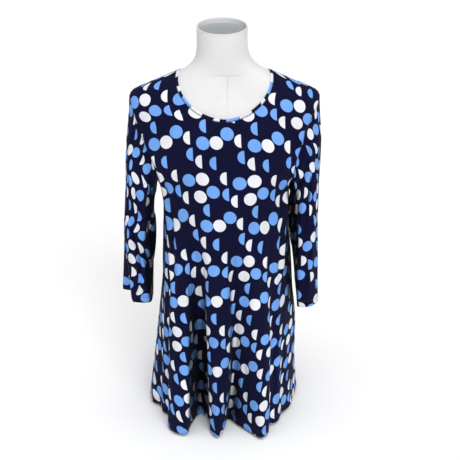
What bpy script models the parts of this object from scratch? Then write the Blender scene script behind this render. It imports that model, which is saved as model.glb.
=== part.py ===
"""Scoop-neck A-line tunic top with three-quarter sleeves, worn on a limbless dress form.

Metres, +Z up. The origin is on the floor under the middle of the form. The front
faces -Y and the wearer's right is at -X. The form stands on its flat base and the
cloth rests on its shoulders; every cut piece is a thin closed wall of its own.
"""

import bpy
import numpy as np

# Cloth and seams
WALL = 0.0012  # thickness of the cloth walls
BINDING_WALL = 0.0018  # the folded neck binding is thicker
BINDING_WIDTH = 0.0065
SEAM_GAP = 0.0003
MOST_MITRE = 2.5  # longest mitre at a sharp seam, in wall thicknesses

# Heights that the garment is drawn from
HEM_HEIGHT = 0.008
FOLD_MID_HEIGHT = 0.25  # the height of the fold table's middle columns
FOLD_TOP_HEIGHT = 0.585  # the skirt's folds have faded out here
FOLD_FADE = 0.12
ARMPIT_HEIGHT = 0.608
SHOULDER_TIP_HEIGHT = 0.806

# Neckline: a scoop, drawn in front view as part of a superellipse
NECKLINE_HALF_WIDTH = 0.1025
NECKLINE_WIDEST_HEIGHT = 0.852
NECKLINE_DROP = 0.081
NECKLINE_SQUARENESS = 1.8
NECK_SIDE_HEIGHT = 0.8615  # where the neckline's edge crosses the shoulder
BACK_NECK_DROP = 0.0165
BACK_SEAM_DROP = 0.0195

# Mesh density
FRONT_COLUMNS_PER_FOLD = 2
BACK_COLUMNS_PER_FOLD = 3
SKIRT_ROWS = 15
ARMHOLE_ROWS = 10
SHOULDER_ROWS = 4
SLEEVE_ROWS = 12
FORM_COLUMNS = 32
SECTION_SAMPLES = 121
CURVE_SAMPLES = 241

# Sleeves
SLEEVE_MID_HEIGHT = 0.52  # the height of the sleeve tables' middle columns
# Height over which the armhole's shape gives way to the hanging tube, below the armpit
# and below the shoulder tip
SLEEVE_FADES = (0.06, 0.09)
SLEEVE_FOLD_START = 1.5  # how softly a sleeve's folds begin below its middle height
RIGHT_SLEEVE_LEAN = 0.082  # the tube's shift in x for each metre up
LEFT_SLEEVE_LEAN = -0.010

# Dress form
NECK_LEAN = -0.005  # the neck stands a little to the wearer's right
NECK_LEAN_HEIGHTS = (0.84, 0.92)
NECK_TILT_START = 0.905
NECK_TILT_SLOPE = 0.2035  # rise of the rim for each metre backwards
RIM_HEIGHT = 0.958
RIM_WIDTH = 0.003
CAP_RECESS = 0.012
CAP_THICKNESS = 0.002

# Colours: (red, green, blue), linear
NAVY = (0.010, 0.010, 0.035)
COVER_WHITE = (0.86, 0.86, 0.87)
CAP_GREY = (0.45, 0.48, 0.48)

# The tunic's smooth shape, without its folds
CLOTH_SECTIONS = [
    # height, right side, left side, front, back, squareness
    (0.008, 0.186, 0.184, 0.140, 0.132, 2.2),
    (0.120, 0.176, 0.177, 0.136, 0.126, 2.2),
    (0.250, 0.164, 0.174, 0.131, 0.119, 2.2),
    (0.366, 0.153, 0.160, 0.128, 0.113, 2.2),
    (0.473, 0.146, 0.154, 0.127, 0.109, 2.2),
    (0.558, 0.147, 0.152, 0.128, 0.108, 2.2),
    (0.608, 0.158, 0.158, 0.127, 0.110, 2.2),
    (0.640, 0.180, 0.180, 0.125, 0.113, 2.3),
    (0.680, 0.200, 0.200, 0.119, 0.115, 2.4),
    (0.715, 0.212, 0.212, 0.111, 0.114, 2.4),
    (0.750, 0.218, 0.218, 0.102, 0.110, 2.4),
    (0.785, 0.219, 0.219, 0.091, 0.102, 2.4),
    (0.806, 0.2155, 0.2155, 0.0820, 0.0920, 2.3),
    (0.8147, 0.2098, 0.2098, 0.078, 0.087, 2.2),
    (0.830, 0.1776, 0.1776, 0.0715, 0.078, 2.1),
    (0.8467, 0.1373, 0.1373, 0.065, 0.069, 2.0),
    (0.8585, 0.1092, 0.1092, 0.0608, 0.0635, 2.0),
    (0.8615, 0.1022, 0.1022, 0.0600, 0.0625, 2.0),
    (0.8703, 0.0845, 0.0845, 0.0590, 0.0610, 2.0),
]

# Where the armhole seams run, as distance from the middle of the garment
ARMHOLE = [
    # height, front, back
    (0.608, 0.1580, 0.1580),
    (0.622, 0.1578, 0.1585),
    (0.640, 0.1585, 0.1610),
    (0.660, 0.1625, 0.1660),
    (0.684, 0.1715, 0.1755),
    (0.716, 0.1844, 0.1880),
    (0.769, 0.2020, 0.2040),
    (0.789, 0.2080, 0.2090),
    (0.806, 0.2155, 0.2155),
]

# The skirt's folds. Each row is a turning point of the cloth seen from above, at the
# hem and at the middle height, from the wearer's right side seam across the front.
FRONT_FOLDS = [
    # what, hem x, hem y, middle x, middle y
    ("side seam", -0.197, -0.004, -0.166, -0.003),
    ("side pleat", -0.190, -0.036, -0.160, -0.036),
    ("tuck", -0.166, -0.056, -0.152, -0.060),
    ("small pleat", -0.158, -0.084, -0.146, -0.084),
    ("step", -0.144, -0.094, -0.134, -0.098),
    ("flute edge", -0.139, -0.152, -0.129, -0.132),
    ("flute crest", -0.120, -0.172, -0.113, -0.149),
    ("flute corner", -0.097, -0.178, -0.092, -0.150),
    ("flute edge", -0.083, -0.134, -0.080, -0.128),
    ("trough", -0.060, -0.090, -0.060, -0.104),
    ("rise", -0.040, -0.118, -0.044, -0.121),
    ("flute edge", -0.034, -0.170, -0.038, -0.150),
    ("flute crest", -0.019, -0.189, -0.020, -0.163),
    ("flute edge", -0.006, -0.168, 0.003, -0.152),
    ("centre trough", 0.008, -0.117, 0.022, -0.121),
    ("rise", 0.034, -0.142, 0.042, -0.131),
    ("flute slope", 0.064, -0.172, 0.064, -0.148),
    ("flute crest", 0.087, -0.192, 0.086, -0.157),
    ("flute edge", 0.106, -0.172, 0.105, -0.142),
    ("step", 0.110, -0.142, 0.112, -0.118),
    ("small pleat", 0.130, -0.126, 0.130, -0.104),
    ("tuck", 0.143, -0.092, 0.142, -0.082),
    ("small pleat", 0.166, -0.058, 0.158, -0.055),
    ("side pleat", 0.176, -0.022, 0.170, -0.026),
    ("side seam", 0.186, 0.016, 0.177, 0.004),
]
FRONT_CENTRE = 14  # the row that lies on the centre front

# The same round the back, from the wearer's left side seam to the right one
BACK_FOLDS = [
    # what, hem x, hem y, middle x, middle y
    ("flute crest", 0.189, 0.062, 0.170, 0.046),
    ("trough", 0.148, 0.090, 0.142, 0.084),
    ("flute crest", 0.122, 0.158, 0.114, 0.132),
    ("trough", 0.078, 0.112, 0.076, 0.114),
    ("flute crest", 0.046, 0.184, 0.042, 0.153),
    ("centre trough", -0.002, 0.124, 0.000, 0.124),
    ("flute crest", -0.050, 0.180, -0.044, 0.152),
    ("trough", -0.082, 0.116, -0.078, 0.116),
    ("flute crest", -0.126, 0.160, -0.114, 0.132),
    ("trough", -0.146, 0.094, -0.136, 0.086),
    ("flute crest", -0.189, 0.066, -0.160, 0.046),
]
BACK_CENTRE = 5

# The hanging sleeves seen from above, from the outer line round the front
RIGHT_SLEEVE = [
    # what, middle x, middle y, cuff x, cuff y
    ("outer line", -0.2385, -0.005, -0.2600, 0.030),
    ("valley", -0.2370, -0.036, -0.2330, 0.016),
    ("front fold", -0.2220, -0.062, -0.2260, -0.042),
    ("front", -0.1900, -0.066, -0.1830, -0.044),
    ("inner front", -0.1700, -0.036, -0.1800, -0.014),
    ("inner", -0.1715, 0.014, -0.1870, 0.034),
    ("back", -0.1930, 0.062, -0.2150, 0.062),
    ("outer back", -0.2260, 0.048, -0.2490, 0.058),
]
LEFT_SLEEVE = [
    # what, middle x, middle y, cuff x, cuff y
    ("outer line", 0.2240, 0.002, 0.2310, 0.000),
    ("outer front", 0.2180, -0.038, 0.2290, -0.030),
    ("front fold", 0.1970, -0.067, 0.2000, -0.060),
    ("front", 0.1730, -0.060, 0.1790, -0.058),
    ("inner front", 0.1600, -0.028, 0.1785, -0.030),
    ("inner", 0.1600, 0.018, 0.1820, 0.015),
    ("back", 0.1820, 0.060, 0.1930, 0.055),
    ("outer back", 0.2140, 0.046, 0.2220, 0.045),
]
RIGHT_CUFF_HEIGHT = 0.300
LEFT_CUFF_HEIGHT = 0.294

# The dress form: its sections are round in front view at the shoulders and neck
FORM_SECTIONS = [
    # height, side, front, back, squareness
    (0.000, 0.136, 0.074, 0.082, 2.2),
    (0.004, 0.140, 0.078, 0.086, 2.2),
    (0.080, 0.146, 0.082, 0.094, 2.2),
    (0.180, 0.150, 0.086, 0.104, 2.2),
    (0.270, 0.147, 0.087, 0.106, 2.2),
    (0.360, 0.136, 0.084, 0.098, 2.2),
    (0.440, 0.124, 0.082, 0.086, 2.15),
    (0.500, 0.126, 0.092, 0.086, 2.15),
    (0.555, 0.134, 0.113, 0.096, 2.15),
    (0.608, 0.143, 0.1245, 0.1075, 2.2),
    (0.640, 0.151, 0.1228, 0.1107, 2.3),
    (0.680, 0.167, 0.1168, 0.1127, 2.4),
    (0.715, 0.180, 0.1087, 0.1117, 2.4),
    (0.750, 0.189, 0.0997, 0.1077, 2.4),
    (0.782, 0.1945, 0.0895, 0.1003, 2.4),
    (0.800, 0.1955, 0.0822, 0.0925, 2.35),
    (0.812, 0.1930, 0.0765, 0.0855, 2.25),
    (0.820, 0.1860, 0.0735, 0.0815, 2.15),
    (0.8277, 0.1735, 0.0697, 0.0765, 2.1),
    (0.8444, 0.1373, 0.0630, 0.0670, 2.0),
    (0.8562, 0.1092, 0.0588, 0.0615, 2.0),
    (0.8592, 0.1022, 0.0580, 0.0605, 2.0),
    (0.8680, 0.0845, 0.0570, 0.0590, 2.0),
    (0.8800, 0.0700, 0.0565, 0.0580, 2.0),
    (0.8930, 0.0615, 0.0563, 0.0572, 2.0),
    (0.9100, 0.0575, 0.0562, 0.0565, 2.0),
    (0.9350, 0.0565, 0.0562, 0.0565, 2.0),
    (0.9580, 0.0566, 0.0564, 0.0566, 2.0),
]

FRONT, BACK = -1, 1  # the side of the garment, as the sign of y


def unit(vectors):
    """The vectors at length one."""
    return vectors / np.linalg.norm(vectors, axis=-1, keepdims=True)


def ease(t):
    """0 below t = 0, 1 above t = 1, smooth between."""
    t = np.clip(t, 0.0, 1.0)
    return t * t * (3 - 2 * t)


def smooth_curve(knots, values, at):
    """A smooth curve through values at the knots, read at the given places."""
    knots = np.asarray(knots, float)
    values = np.asarray(values, float)
    slopes = np.gradient(values, knots, axis=0)
    i = np.clip(np.searchsorted(knots, at) - 1, 0, len(knots) - 2)
    step = knots[i + 1] - knots[i]
    t = (np.clip(at, knots[0], knots[-1]) - knots[i]) / step
    if values.ndim > 1:
        t = t[..., None]
        step = step[..., None]
    return (
        (1 + 2 * t) * (1 - t) ** 2 * values[i]
        + t * (1 - t) ** 2 * step * slopes[i]
        + t**2 * (3 - 2 * t) * values[i + 1]
        - t**2 * (1 - t) * step * slopes[i + 1]
    )


def loop_curve(knots, points, period, at):
    """A smooth closed curve through the points, one at each knot of the period."""
    around = 3
    knots = np.asarray(knots, float)
    points = np.asarray(points, float)
    before, after = knots[-around:] - period, knots[:around] + period
    all_knots = np.concatenate([before, knots, after])
    all_points = np.concatenate([points[-around:], points, points[:around]])
    inside = (np.asarray(at, float) - knots[0]) % period + knots[0]
    return smooth_curve(all_knots, all_points, inside)


def run_length(points):
    """Distance along a row of points, from its first point."""
    steps = np.linalg.norm(np.diff(points, axis=0), axis=1)
    return np.concatenate([[0.0], np.cumsum(steps)])


def half_section(row, facing, side):
    """A section from its middle line to its side, as dense points and their share of it.

    row is height, side half-widths (right, left), front, back and squareness.
    """
    height, right, left, front, back, squareness = row
    angle = np.linspace(0, np.pi / 2, SECTION_SAMPLES)
    width = left if side > 0 else right
    depth = front if facing == FRONT else back
    x = side * width * np.sin(angle) ** (2 / squareness)
    y = facing * depth * np.cos(angle) ** (2 / squareness)
    points = np.stack([x, y, np.full_like(x, height)], 1)
    length = run_length(points)
    return points, length / length[-1]


def table_row(table, height):
    """The table's row at any height, read from smooth curves through its columns."""
    rows = np.array(table)
    return np.concatenate([[height], smooth_curve(rows[:, 0], rows[:, 1:], np.array(height))])


def on_cloth(facing, side, share, height):
    """The smooth cloth's point at a share of the way from the middle line to the side."""
    points, shares = half_section(table_row(CLOTH_SECTIONS, height), facing, side)
    return np.array([np.interp(share, shares, points[:, k]) for k in range(3)])


def share_at(facing, x, height):
    """The share of a section at which it lies x from the middle."""
    points, shares = half_section(table_row(CLOTH_SECTIONS, height), facing, 1)
    return float(np.interp(x, points[:, 0], shares))


def fold_knots():
    """Where the fold tables' rows lie round the garment.

    The round runs from -1 at the right side seam over 0 at the centre front to 1 at
    the left side seam, and on over 2 at the centre back to 3, the right seam again.
    """
    rows = FRONT_FOLDS + BACK_FOLDS + FRONT_FOLDS[:1]
    hem = run_length(np.array([row[1:3] for row in rows]))
    middle_back = len(FRONT_FOLDS) + BACK_CENTRE
    marks = [0, FRONT_CENTRE, len(FRONT_FOLDS) - 1, middle_back, len(rows) - 1]
    places = np.interp(hem, hem[marks], [-1, 0, 1, 2, 3])
    return places[:-1], np.array([row[1:5] for row in rows[:-1]])


def skirt_point(place, height):
    """The cloth below the armpits, at a place round the garment, with its folds."""
    facing = FRONT if place <= 1 else BACK
    across = place if facing == FRONT else 2 - place
    side = 1 if across > 0 else -1
    smooth = on_cloth(facing, side, abs(across), height)
    if height >= FOLD_TOP_HEIGHT:
        return smooth
    knots, table = fold_knots()
    hem_x, hem_y, mid_x, mid_y = loop_curve(knots, table, 4, np.array([place]))[0]
    hem = np.array([hem_x, hem_y]) - on_cloth(facing, side, abs(across), HEM_HEIGHT)[:2]
    middle = np.array([mid_x, mid_y]) - on_cloth(facing, side, abs(across), FOLD_MID_HEIGHT)[:2]
    low, mid, top = HEM_HEIGHT, FOLD_MID_HEIGHT, FOLD_TOP_HEIGHT
    hem_weight = (height - mid) * (height - top) / ((low - mid) * (low - top))
    mid_weight = (height - low) * (height - top) / ((mid - low) * (mid - top))
    fade = ease((top - height) / FOLD_FADE)
    smooth[:2] += (hem * hem_weight + middle * mid_weight) * fade
    return smooth


def even_domain(domain, facing, count):
    """A curve of (share, height) resampled to equal steps in space."""
    places = np.array([on_cloth(facing, 1, share, height) for share, height in domain])
    length = run_length(places)
    steps = np.linspace(0, length[-1], count + 1)
    return np.stack([np.interp(steps, length, column) for column in domain.T], 1)


def panel_edge(facing):
    """(share, height) up the armhole from the armpit to the shoulder tip, then to the neck."""
    column = 1 if facing == FRONT else 2
    table = np.array(ARMHOLE)
    rise = np.linspace(0, 1, CURVE_SAMPLES) ** 2
    heights = ARMPIT_HEIGHT + (SHOULDER_TIP_HEIGHT - ARMPIT_HEIGHT) * rise
    seam = smooth_curve(table[:, 0], table[:, column], heights)
    armhole = np.array([(share_at(facing, x, z), z) for x, z in zip(seam, heights)])
    armhole[0, 0] = armhole[-1, 0] = 1.0
    top = neckline(facing, seam=True)[-1, 1]
    shoulder = np.linspace(SHOULDER_TIP_HEIGHT, top, SHOULDER_ROWS + 1)[1:]
    shoulder = np.stack([np.ones(SHOULDER_ROWS), shoulder], 1)
    return np.concatenate([even_domain(armhole, facing, ARMHOLE_ROWS), shoulder])


def ridge_height(x):
    """The height of the shoulder line at a distance from the middle."""
    table = np.array([row for row in CLOTH_SECTIONS if row[0] >= SHOULDER_TIP_HEIGHT])
    return float(np.interp(x, table[::-1, 1], table[::-1, 0]))


def neckline(facing, seam):
    """(share, height) of half the neckline, from its middle to the shoulder line.

    With seam it is the line where the binding joins the panel, else the binding's edge.
    """
    more = BINDING_WIDTH if seam else 0.0
    width = NECKLINE_HALF_WIDTH + more
    side_height = ridge_height(width) if seam else NECK_SIDE_HEIGHT
    if facing == FRONT:
        drop = NECKLINE_DROP + more
        power = 2 / NECKLINE_SQUARENESS
        over = ((side_height - NECKLINE_WIDEST_HEIGHT) / drop) ** (1 / power)
        angle = np.linspace(0, np.pi / 2 + np.arcsin(over), CURVE_SAMPLES)
        x = width * np.sin(angle) ** power
        z = NECKLINE_WIDEST_HEIGHT - drop * np.sign(np.cos(angle)) * abs(np.cos(angle)) ** power
    else:
        drop = BACK_SEAM_DROP if seam else BACK_NECK_DROP
        angle = np.linspace(0, np.pi / 2, CURVE_SAMPLES)
        x = width * np.sin(angle)
        z = side_height - drop * np.cos(angle)
    line = np.array([(share_at(facing, a, b), b) for a, b in zip(x, z)])
    line[-1, 0] = 1.0
    return line


def column_places(facing):
    """Where a panel's columns lie round the garment: a few to each row of its fold table."""
    knots = np.append(fold_knots()[0], 3.0)
    if facing == FRONT:
        marks, count = knots[: len(FRONT_FOLDS)], FRONT_COLUMNS_PER_FOLD
    else:
        marks, count = knots[len(FRONT_FOLDS) - 1 :], BACK_COLUMNS_PER_FOLD
    steps = np.arange((len(marks) - 1) * count + 1) / count
    return np.interp(steps, np.arange(len(marks)), marks)


def side_and_share(facing, place):
    """Which side of its middle line a place lies on, and its share of the way to the side."""
    across = place if facing == FRONT else 2 - place
    return (1 if across > 0 else -1), abs(across)


def neckline_points(facing, seam, places):
    """(side, share, height) where each of the places meets the neckline."""
    line = neckline(facing, seam)
    run = run_length(np.array([on_cloth(facing, 1, *point) for point in line]))
    run /= run[-1]
    found = []
    for place in places:
        side, share = side_and_share(facing, place)
        found.append((side, *(np.interp(share, run, line[:, k]) for k in (0, 1))))
    return found


def yoke_grid(facing, places):
    """A panel's outer points above the armpits: rows up, a column at each place.

    The rows bend from level at the armpits to the neckline at the top. Each is a blend
    of the patch's four borders in share and height.
    """
    edge = panel_edge(facing)
    top = neckline_points(facing, True, places)
    middle_top = neckline_points(facing, True, [0 if facing == FRONT else 2])[0][2]
    rows = len(edge) - 1
    grid = np.zeros((rows, len(places), 3))
    for i in range(1, rows + 1):
        t = i / rows
        for j, place in enumerate(places):
            side, p = side_and_share(facing, place)
            rise = (1 - p) * t * middle_top + p * t * edge[-1, 1]
            share = (1 - t) * p + t * top[j][1] + p * edge[i, 0] - p * (1 - t) - p * t
            height = (1 - t) * ARMPIT_HEIGHT + t * top[j][2]
            height += (1 - p) * (ARMPIT_HEIGHT + t * (middle_top - ARMPIT_HEIGHT))
            height += p * edge[i, 1] - (1 - t) * ARMPIT_HEIGHT - rise
            grid[i - 1, j] = on_cloth(facing, side, share, height)
    return grid


def panel_grid(facing):
    """A panel's outer points: rows from hem to neckline, columns along the round."""
    places = column_places(facing)
    heights = np.linspace(HEM_HEIGHT, ARMPIT_HEIGHT, SKIRT_ROWS + 1)
    skirt = np.array([[skirt_point(place, z) for place in places] for z in heights])
    return np.concatenate([skirt, yoke_grid(facing, places)])


def grid_normals(points, closed=False, flip=False):
    """Unit normals of a grid of points."""
    if closed:
        along = np.roll(points, -1, axis=1) - np.roll(points, 1, axis=1)
    else:
        along = np.gradient(points, axis=1)
    normals = unit(np.cross(along, np.gradient(points, axis=0)))
    return -normals if flip else normals


def mitre(normals, shared):
    """Offsets along shared that keep a wall's thickness where two walls meet at an angle."""
    lean = np.sum(normals * shared, axis=-1, keepdims=True)
    return shared / np.maximum(lean, 1 / MOST_MITRE)


def sleeve_grid(table, lean, cuff_height, armhole):
    """A sleeve's outer points: rows from the armhole down, columns once round.

    armhole is the seam's loop, from the shoulder tip over the front to the armpit.
    """
    columns = len(armhole)
    shape = np.array([row[1:5] for row in table])
    cuff = shape[:, 2:4]
    length = run_length(np.concatenate([cuff, cuff[:1]]))
    knots = length[:-1] / length[-1]
    rounds = loop_curve(knots, shape, 1.0, np.arange(columns) / columns)
    span = SLEEVE_MID_HEIGHT - cuff_height
    lean = np.array([lean, 0.0])

    def hanging(j, z):
        tube = rounds[j, :2] + lean * (z - SLEEVE_MID_HEIGHT)
        folded = rounds[j, 2:4] - (rounds[j, :2] - lean * span)
        below = max(0.0, SLEEVE_MID_HEIGHT - z) / span
        return tube + folded * below**SLEEVE_FOLD_START

    grid = np.zeros((SLEEVE_ROWS + 1, columns, 3))
    for j, start in enumerate(armhole):
        fade = np.interp(start[2], (ARMPIT_HEIGHT, SHOULDER_TIP_HEIGHT), SLEEVE_FADES)
        for i in range(SLEEVE_ROWS + 1):
            z = start[2] + (cuff_height - start[2]) * i / SLEEVE_ROWS
            held = 1 - ease((start[2] - z) / fade)
            grid[i, j, :2] = hanging(j, z) + (start[:2] - hanging(j, start[2])) * held
            grid[i, j, 2] = z
    return grid


def material(name, colour, roughness):
    """A plain material of one colour."""
    made = bpy.data.materials.new(name)
    made.use_nodes = True
    shader = made.node_tree.nodes["Principled BSDF"]
    shader.inputs["Base Color"].default_value = (*colour, 1.0)
    shader.inputs["Roughness"].default_value = roughness
    shader.inputs["Metallic"].default_value = 0.0
    return made


def add_object(name, points, faces, colour, roughness):
    """An object made of the points and faces, smooth where its faces nearly line up."""
    mesh = bpy.data.meshes.new(name)
    mesh.from_pydata([tuple(p) for p in points], [], faces)
    mesh.materials.append(material(name, colour, roughness))
    mesh.shade_smooth()
    mesh.set_sharp_from_angle(angle=np.radians(50))
    made = bpy.data.objects.new(name, mesh)
    bpy.context.scene.collection.objects.link(made)
    return made


def wall(name, outer, inner, closed, flip, roughness=0.7):
    """A cloth wall between two grids of points, closed into a tube or open at its sides."""
    rows, columns = outer.shape[:2]
    points = np.concatenate([outer.reshape(-1, 3), inner.reshape(-1, 3)])
    inside = rows * columns
    last = columns if closed else columns - 1

    def at(i, j):
        return i * columns + j % columns

    def end(a, b):
        """Two triangles across the wall's end, split alike on both sides of a seam."""
        if points[a][2] > points[b][2]:
            return [[a, b, inside + b], [a, inside + b, inside + a]]
        return [[a, b, inside + a], [b, inside + b, inside + a]]

    faces = []
    for j in range(last):
        for i in range(rows - 1):
            quad = [at(i, j), at(i, j + 1), at(i + 1, j + 1), at(i + 1, j)]
            faces.append(quad)
            faces.append([inside + k for k in reversed(quad)])
        faces += end(at(0, j + 1), at(0, j))
        faces += end(at(rows - 1, j), at(rows - 1, j + 1))
    if not closed:
        for i in range(rows - 1):
            faces += end(at(i, 0), at(i + 1, 0))
            faces += end(at(i + 1, columns - 1), at(i, columns - 1))
    if flip:
        faces = [face[::-1] for face in faces]
    return add_object(name, points, faces, NAVY, roughness)


def across_seam(normal, seam_points, towards):
    """Unit vectors that cross a seam in its surface, to the side that towards points to."""
    tangent = unit(np.gradient(seam_points, axis=0))
    across = unit(np.cross(normal, tangent))
    sign = np.sign(np.sum(across * towards, axis=1, keepdims=True))
    return across * sign


def build_garment():
    """The panels, sleeves and binding, each shrunk back by half a gap at every seam."""
    outer = {
        FRONT: panel_grid(FRONT),
        BACK: panel_grid(BACK),
    }
    normal = {facing: grid_normals(grid) for facing, grid in outer.items()}
    offset = {facing: normal[facing].copy() for facing in outer}
    move = {facing: np.zeros_like(outer[facing]) for facing in outer}
    armpit, tip = SKIRT_ROWS, SKIRT_ROWS + ARMHOLE_ROWS
    rows = len(outer[FRONT])
    half_gap = SEAM_GAP / 2

    for side, table, lean, cuff, name in (
        (-1, RIGHT_SLEEVE, RIGHT_SLEEVE_LEAN, RIGHT_CUFF_HEIGHT, "sleeve_right"),
        (1, LEFT_SLEEVE, LEFT_SLEEVE_LEAN, LEFT_CUFF_HEIGHT, "sleeve_left"),
    ):
        edge = {FRONT: 0 if side < 0 else -1, BACK: -1 if side < 0 else 0}
        seam = outer[FRONT][:, edge[FRONT]]
        shared = unit(normal[FRONT][:, edge[FRONT]] + normal[BACK][:, edge[BACK]])

        # Side seam and shoulder seam, between front and back
        for part in (slice(0, armpit + 1), slice(tip, rows)):
            towards = np.tile([0.0, 1.0, 0.0], (len(seam[part]), 1))
            across = across_seam(shared[part], seam[part], towards)
            for facing in (FRONT, BACK):
                j = edge[facing]
                offset[facing][part, j] = mitre(normal[facing][part, j], shared[part])
                move[facing][part, j] += facing * half_gap * across

        # Armhole, between both panels and the sleeve: a loop from the tip to the armpit
        front_run = outer[FRONT][armpit : tip + 1, edge[FRONT]][::-1]
        back_run = outer[BACK][armpit : tip + 1, edge[BACK]]
        loop = np.concatenate([front_run[:-1], back_run[:-1]])
        grid = sleeve_grid(table, lean, cuff, loop)
        sleeve_normal = grid_normals(grid, closed=True, flip=side < 0)
        body_normal = np.concatenate(
            [
                normal[FRONT][armpit : tip + 1, edge[FRONT]][::-1][:-1],
                normal[BACK][armpit : tip + 1, edge[BACK]][:-1],
            ]
        )
        for k, row in ((0, tip), (ARMHOLE_ROWS, armpit)):
            body_normal[k] = shared[row]
        bisector = unit(body_normal + sleeve_normal[0])
        around = np.roll(loop, -1, axis=0) - np.roll(loop, 1, axis=0)
        across = unit(np.cross(bisector, around))
        outward = np.tile([side, 0.0, 0.0], (len(loop), 1))
        across *= np.sign(np.sum(across * outward, axis=1, keepdims=True))
        sleeve_offset = sleeve_normal.copy()
        sleeve_offset[0] = mitre(sleeve_normal[0], bisector)
        grid[0] += half_gap * across
        inner = grid - WALL * sleeve_offset
        wall(name, grid, inner, closed=True, flip=side < 0)

        count = len(loop)
        for facing in (FRONT, BACK):
            for k in range(ARMHOLE_ROWS + 1):
                row = tip - k
                here = k if facing == FRONT else (count - k) % count
                j = edge[facing]
                offset[facing][row, j] = mitre(normal[facing][row, j], bisector[here])
                move[facing][row, j] -= half_gap * across[here]

    build_binding(outer, normal, offset, move)
    for facing, name in ((FRONT, "tunic_front"), (BACK, "tunic_back")):
        moved = outer[facing] + move[facing]
        wall(name, moved, moved - WALL * offset[facing], closed=False, flip=False)


def build_binding(outer, normal, offset, move):
    """The neck binding, one closed band from the panels' neck seam to its free edge."""
    seam, edge, offsets = [], [], []
    for facing in (FRONT, BACK):
        line = neckline_points(facing, False, column_places(facing))
        row = np.array([on_cloth(facing, *point) for point in line])
        width = unit(row - outer[facing][-1])
        move[facing][-1] -= SEAM_GAP / 2 * width
        seam.append((outer[facing][-1] + SEAM_GAP / 2 * width)[:-1])
        edge.append(row[:-1])
        offsets.append(offset[facing][-1][:-1])
    outer_points = np.stack([np.concatenate(seam), np.concatenate(edge)])
    offsets = np.concatenate(offsets)
    raise_by = (BINDING_WALL - WALL) / 2
    top = outer_points + raise_by * offsets
    wall("neck_binding", top, top - BINDING_WALL * offsets, closed=True, flip=False)


def form_row(height):
    """One ring of the dress form."""
    _, side, front, back, squareness = table_row(FORM_SECTIONS, height)
    points = []
    for k in range(FORM_COLUMNS):
        angle = 2 * np.pi * k / FORM_COLUMNS
        s, c = np.sin(angle), np.cos(angle)
        x = side * np.sign(s) * abs(s) ** (2 / squareness)
        depth = front if c > 0 else back
        y = -depth * np.sign(c) * abs(c) ** (2 / squareness)
        points.append((x, y, height))
    return np.array(points)


def lean_and_tilt(ring):
    """Leans the neck to one side and tilts its rim down to the front."""
    ring = ring.copy()
    low, high = NECK_LEAN_HEIGHTS
    ring[:, 0] += NECK_LEAN * ease((ring[:, 2] - low) / (high - low))
    share = np.clip((ring[:, 2] - NECK_TILT_START) / (RIM_HEIGHT - NECK_TILT_START), 0, None)
    ring[:, 2] += NECK_TILT_SLOPE * ring[:, 1] * share
    return ring


def build_form():
    """The dress form's body and neck, with a recess in the top of the neck, and its cap."""
    rings = [lean_and_tilt(form_row(row[0])) for row in FORM_SECTIONS]
    rim = form_row(RIM_HEIGHT)
    inside = 1 - RIM_WIDTH / np.linalg.norm(rim[:, :2], axis=1, keepdims=True)
    lip = rim.copy()
    lip[:, :2] *= inside
    floor = lip.copy()
    normal = unit(np.array([0.0, -NECK_TILT_SLOPE, 1.0]))
    lip, floor = lean_and_tilt(lip), lean_and_tilt(floor)
    rings += [lip, floor - CAP_RECESS * normal]
    points = np.concatenate(rings)
    count = FORM_COLUMNS
    faces = [list(range(count))[::-1]]
    for i in range(len(rings) - 1):
        for k in range(count):
            a, b = i * count + k, i * count + (k + 1) % count
            faces.append([a, b, b + count, a + count])
    faces.append([len(points) - count + k for k in range(count)])
    add_object("form_torso", points, faces, COVER_WHITE, 0.8)

    middle = lip.mean(axis=0)
    shrink = 1 - SEAM_GAP * 1.5 / np.linalg.norm(lip - middle, axis=1, keepdims=True)
    plate = middle + (lip - middle) * shrink
    low = plate - (CAP_RECESS - SEAM_GAP) * normal
    cap = np.concatenate([low, low + CAP_THICKNESS * normal])
    faces = [list(range(count))[::-1], list(range(count, 2 * count))]
    for k in range(count):
        a, b = k, (k + 1) % count
        faces.append([a, b, b + count, a + count])
    add_object("neck_cap", cap, faces, CAP_GREY, 0.6)


def main():
    for old in list(bpy.data.objects):
        bpy.data.objects.remove(old, do_unlink=True)
    build_form()
    build_garment()


main()
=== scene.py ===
"""The tunic top on its dress form: fine cloth, print, stitching, camera and light.

Metres, +Z up, in the frame's own coordinates. The front faces -Y and the wearer's right
is at -X. Each cloth piece is a thin shell on the same sections and folds as its solid,
sampled finely, with the creases of the tables below added as soft ridges and troughs.
"""

import math
from functools import cache

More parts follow.
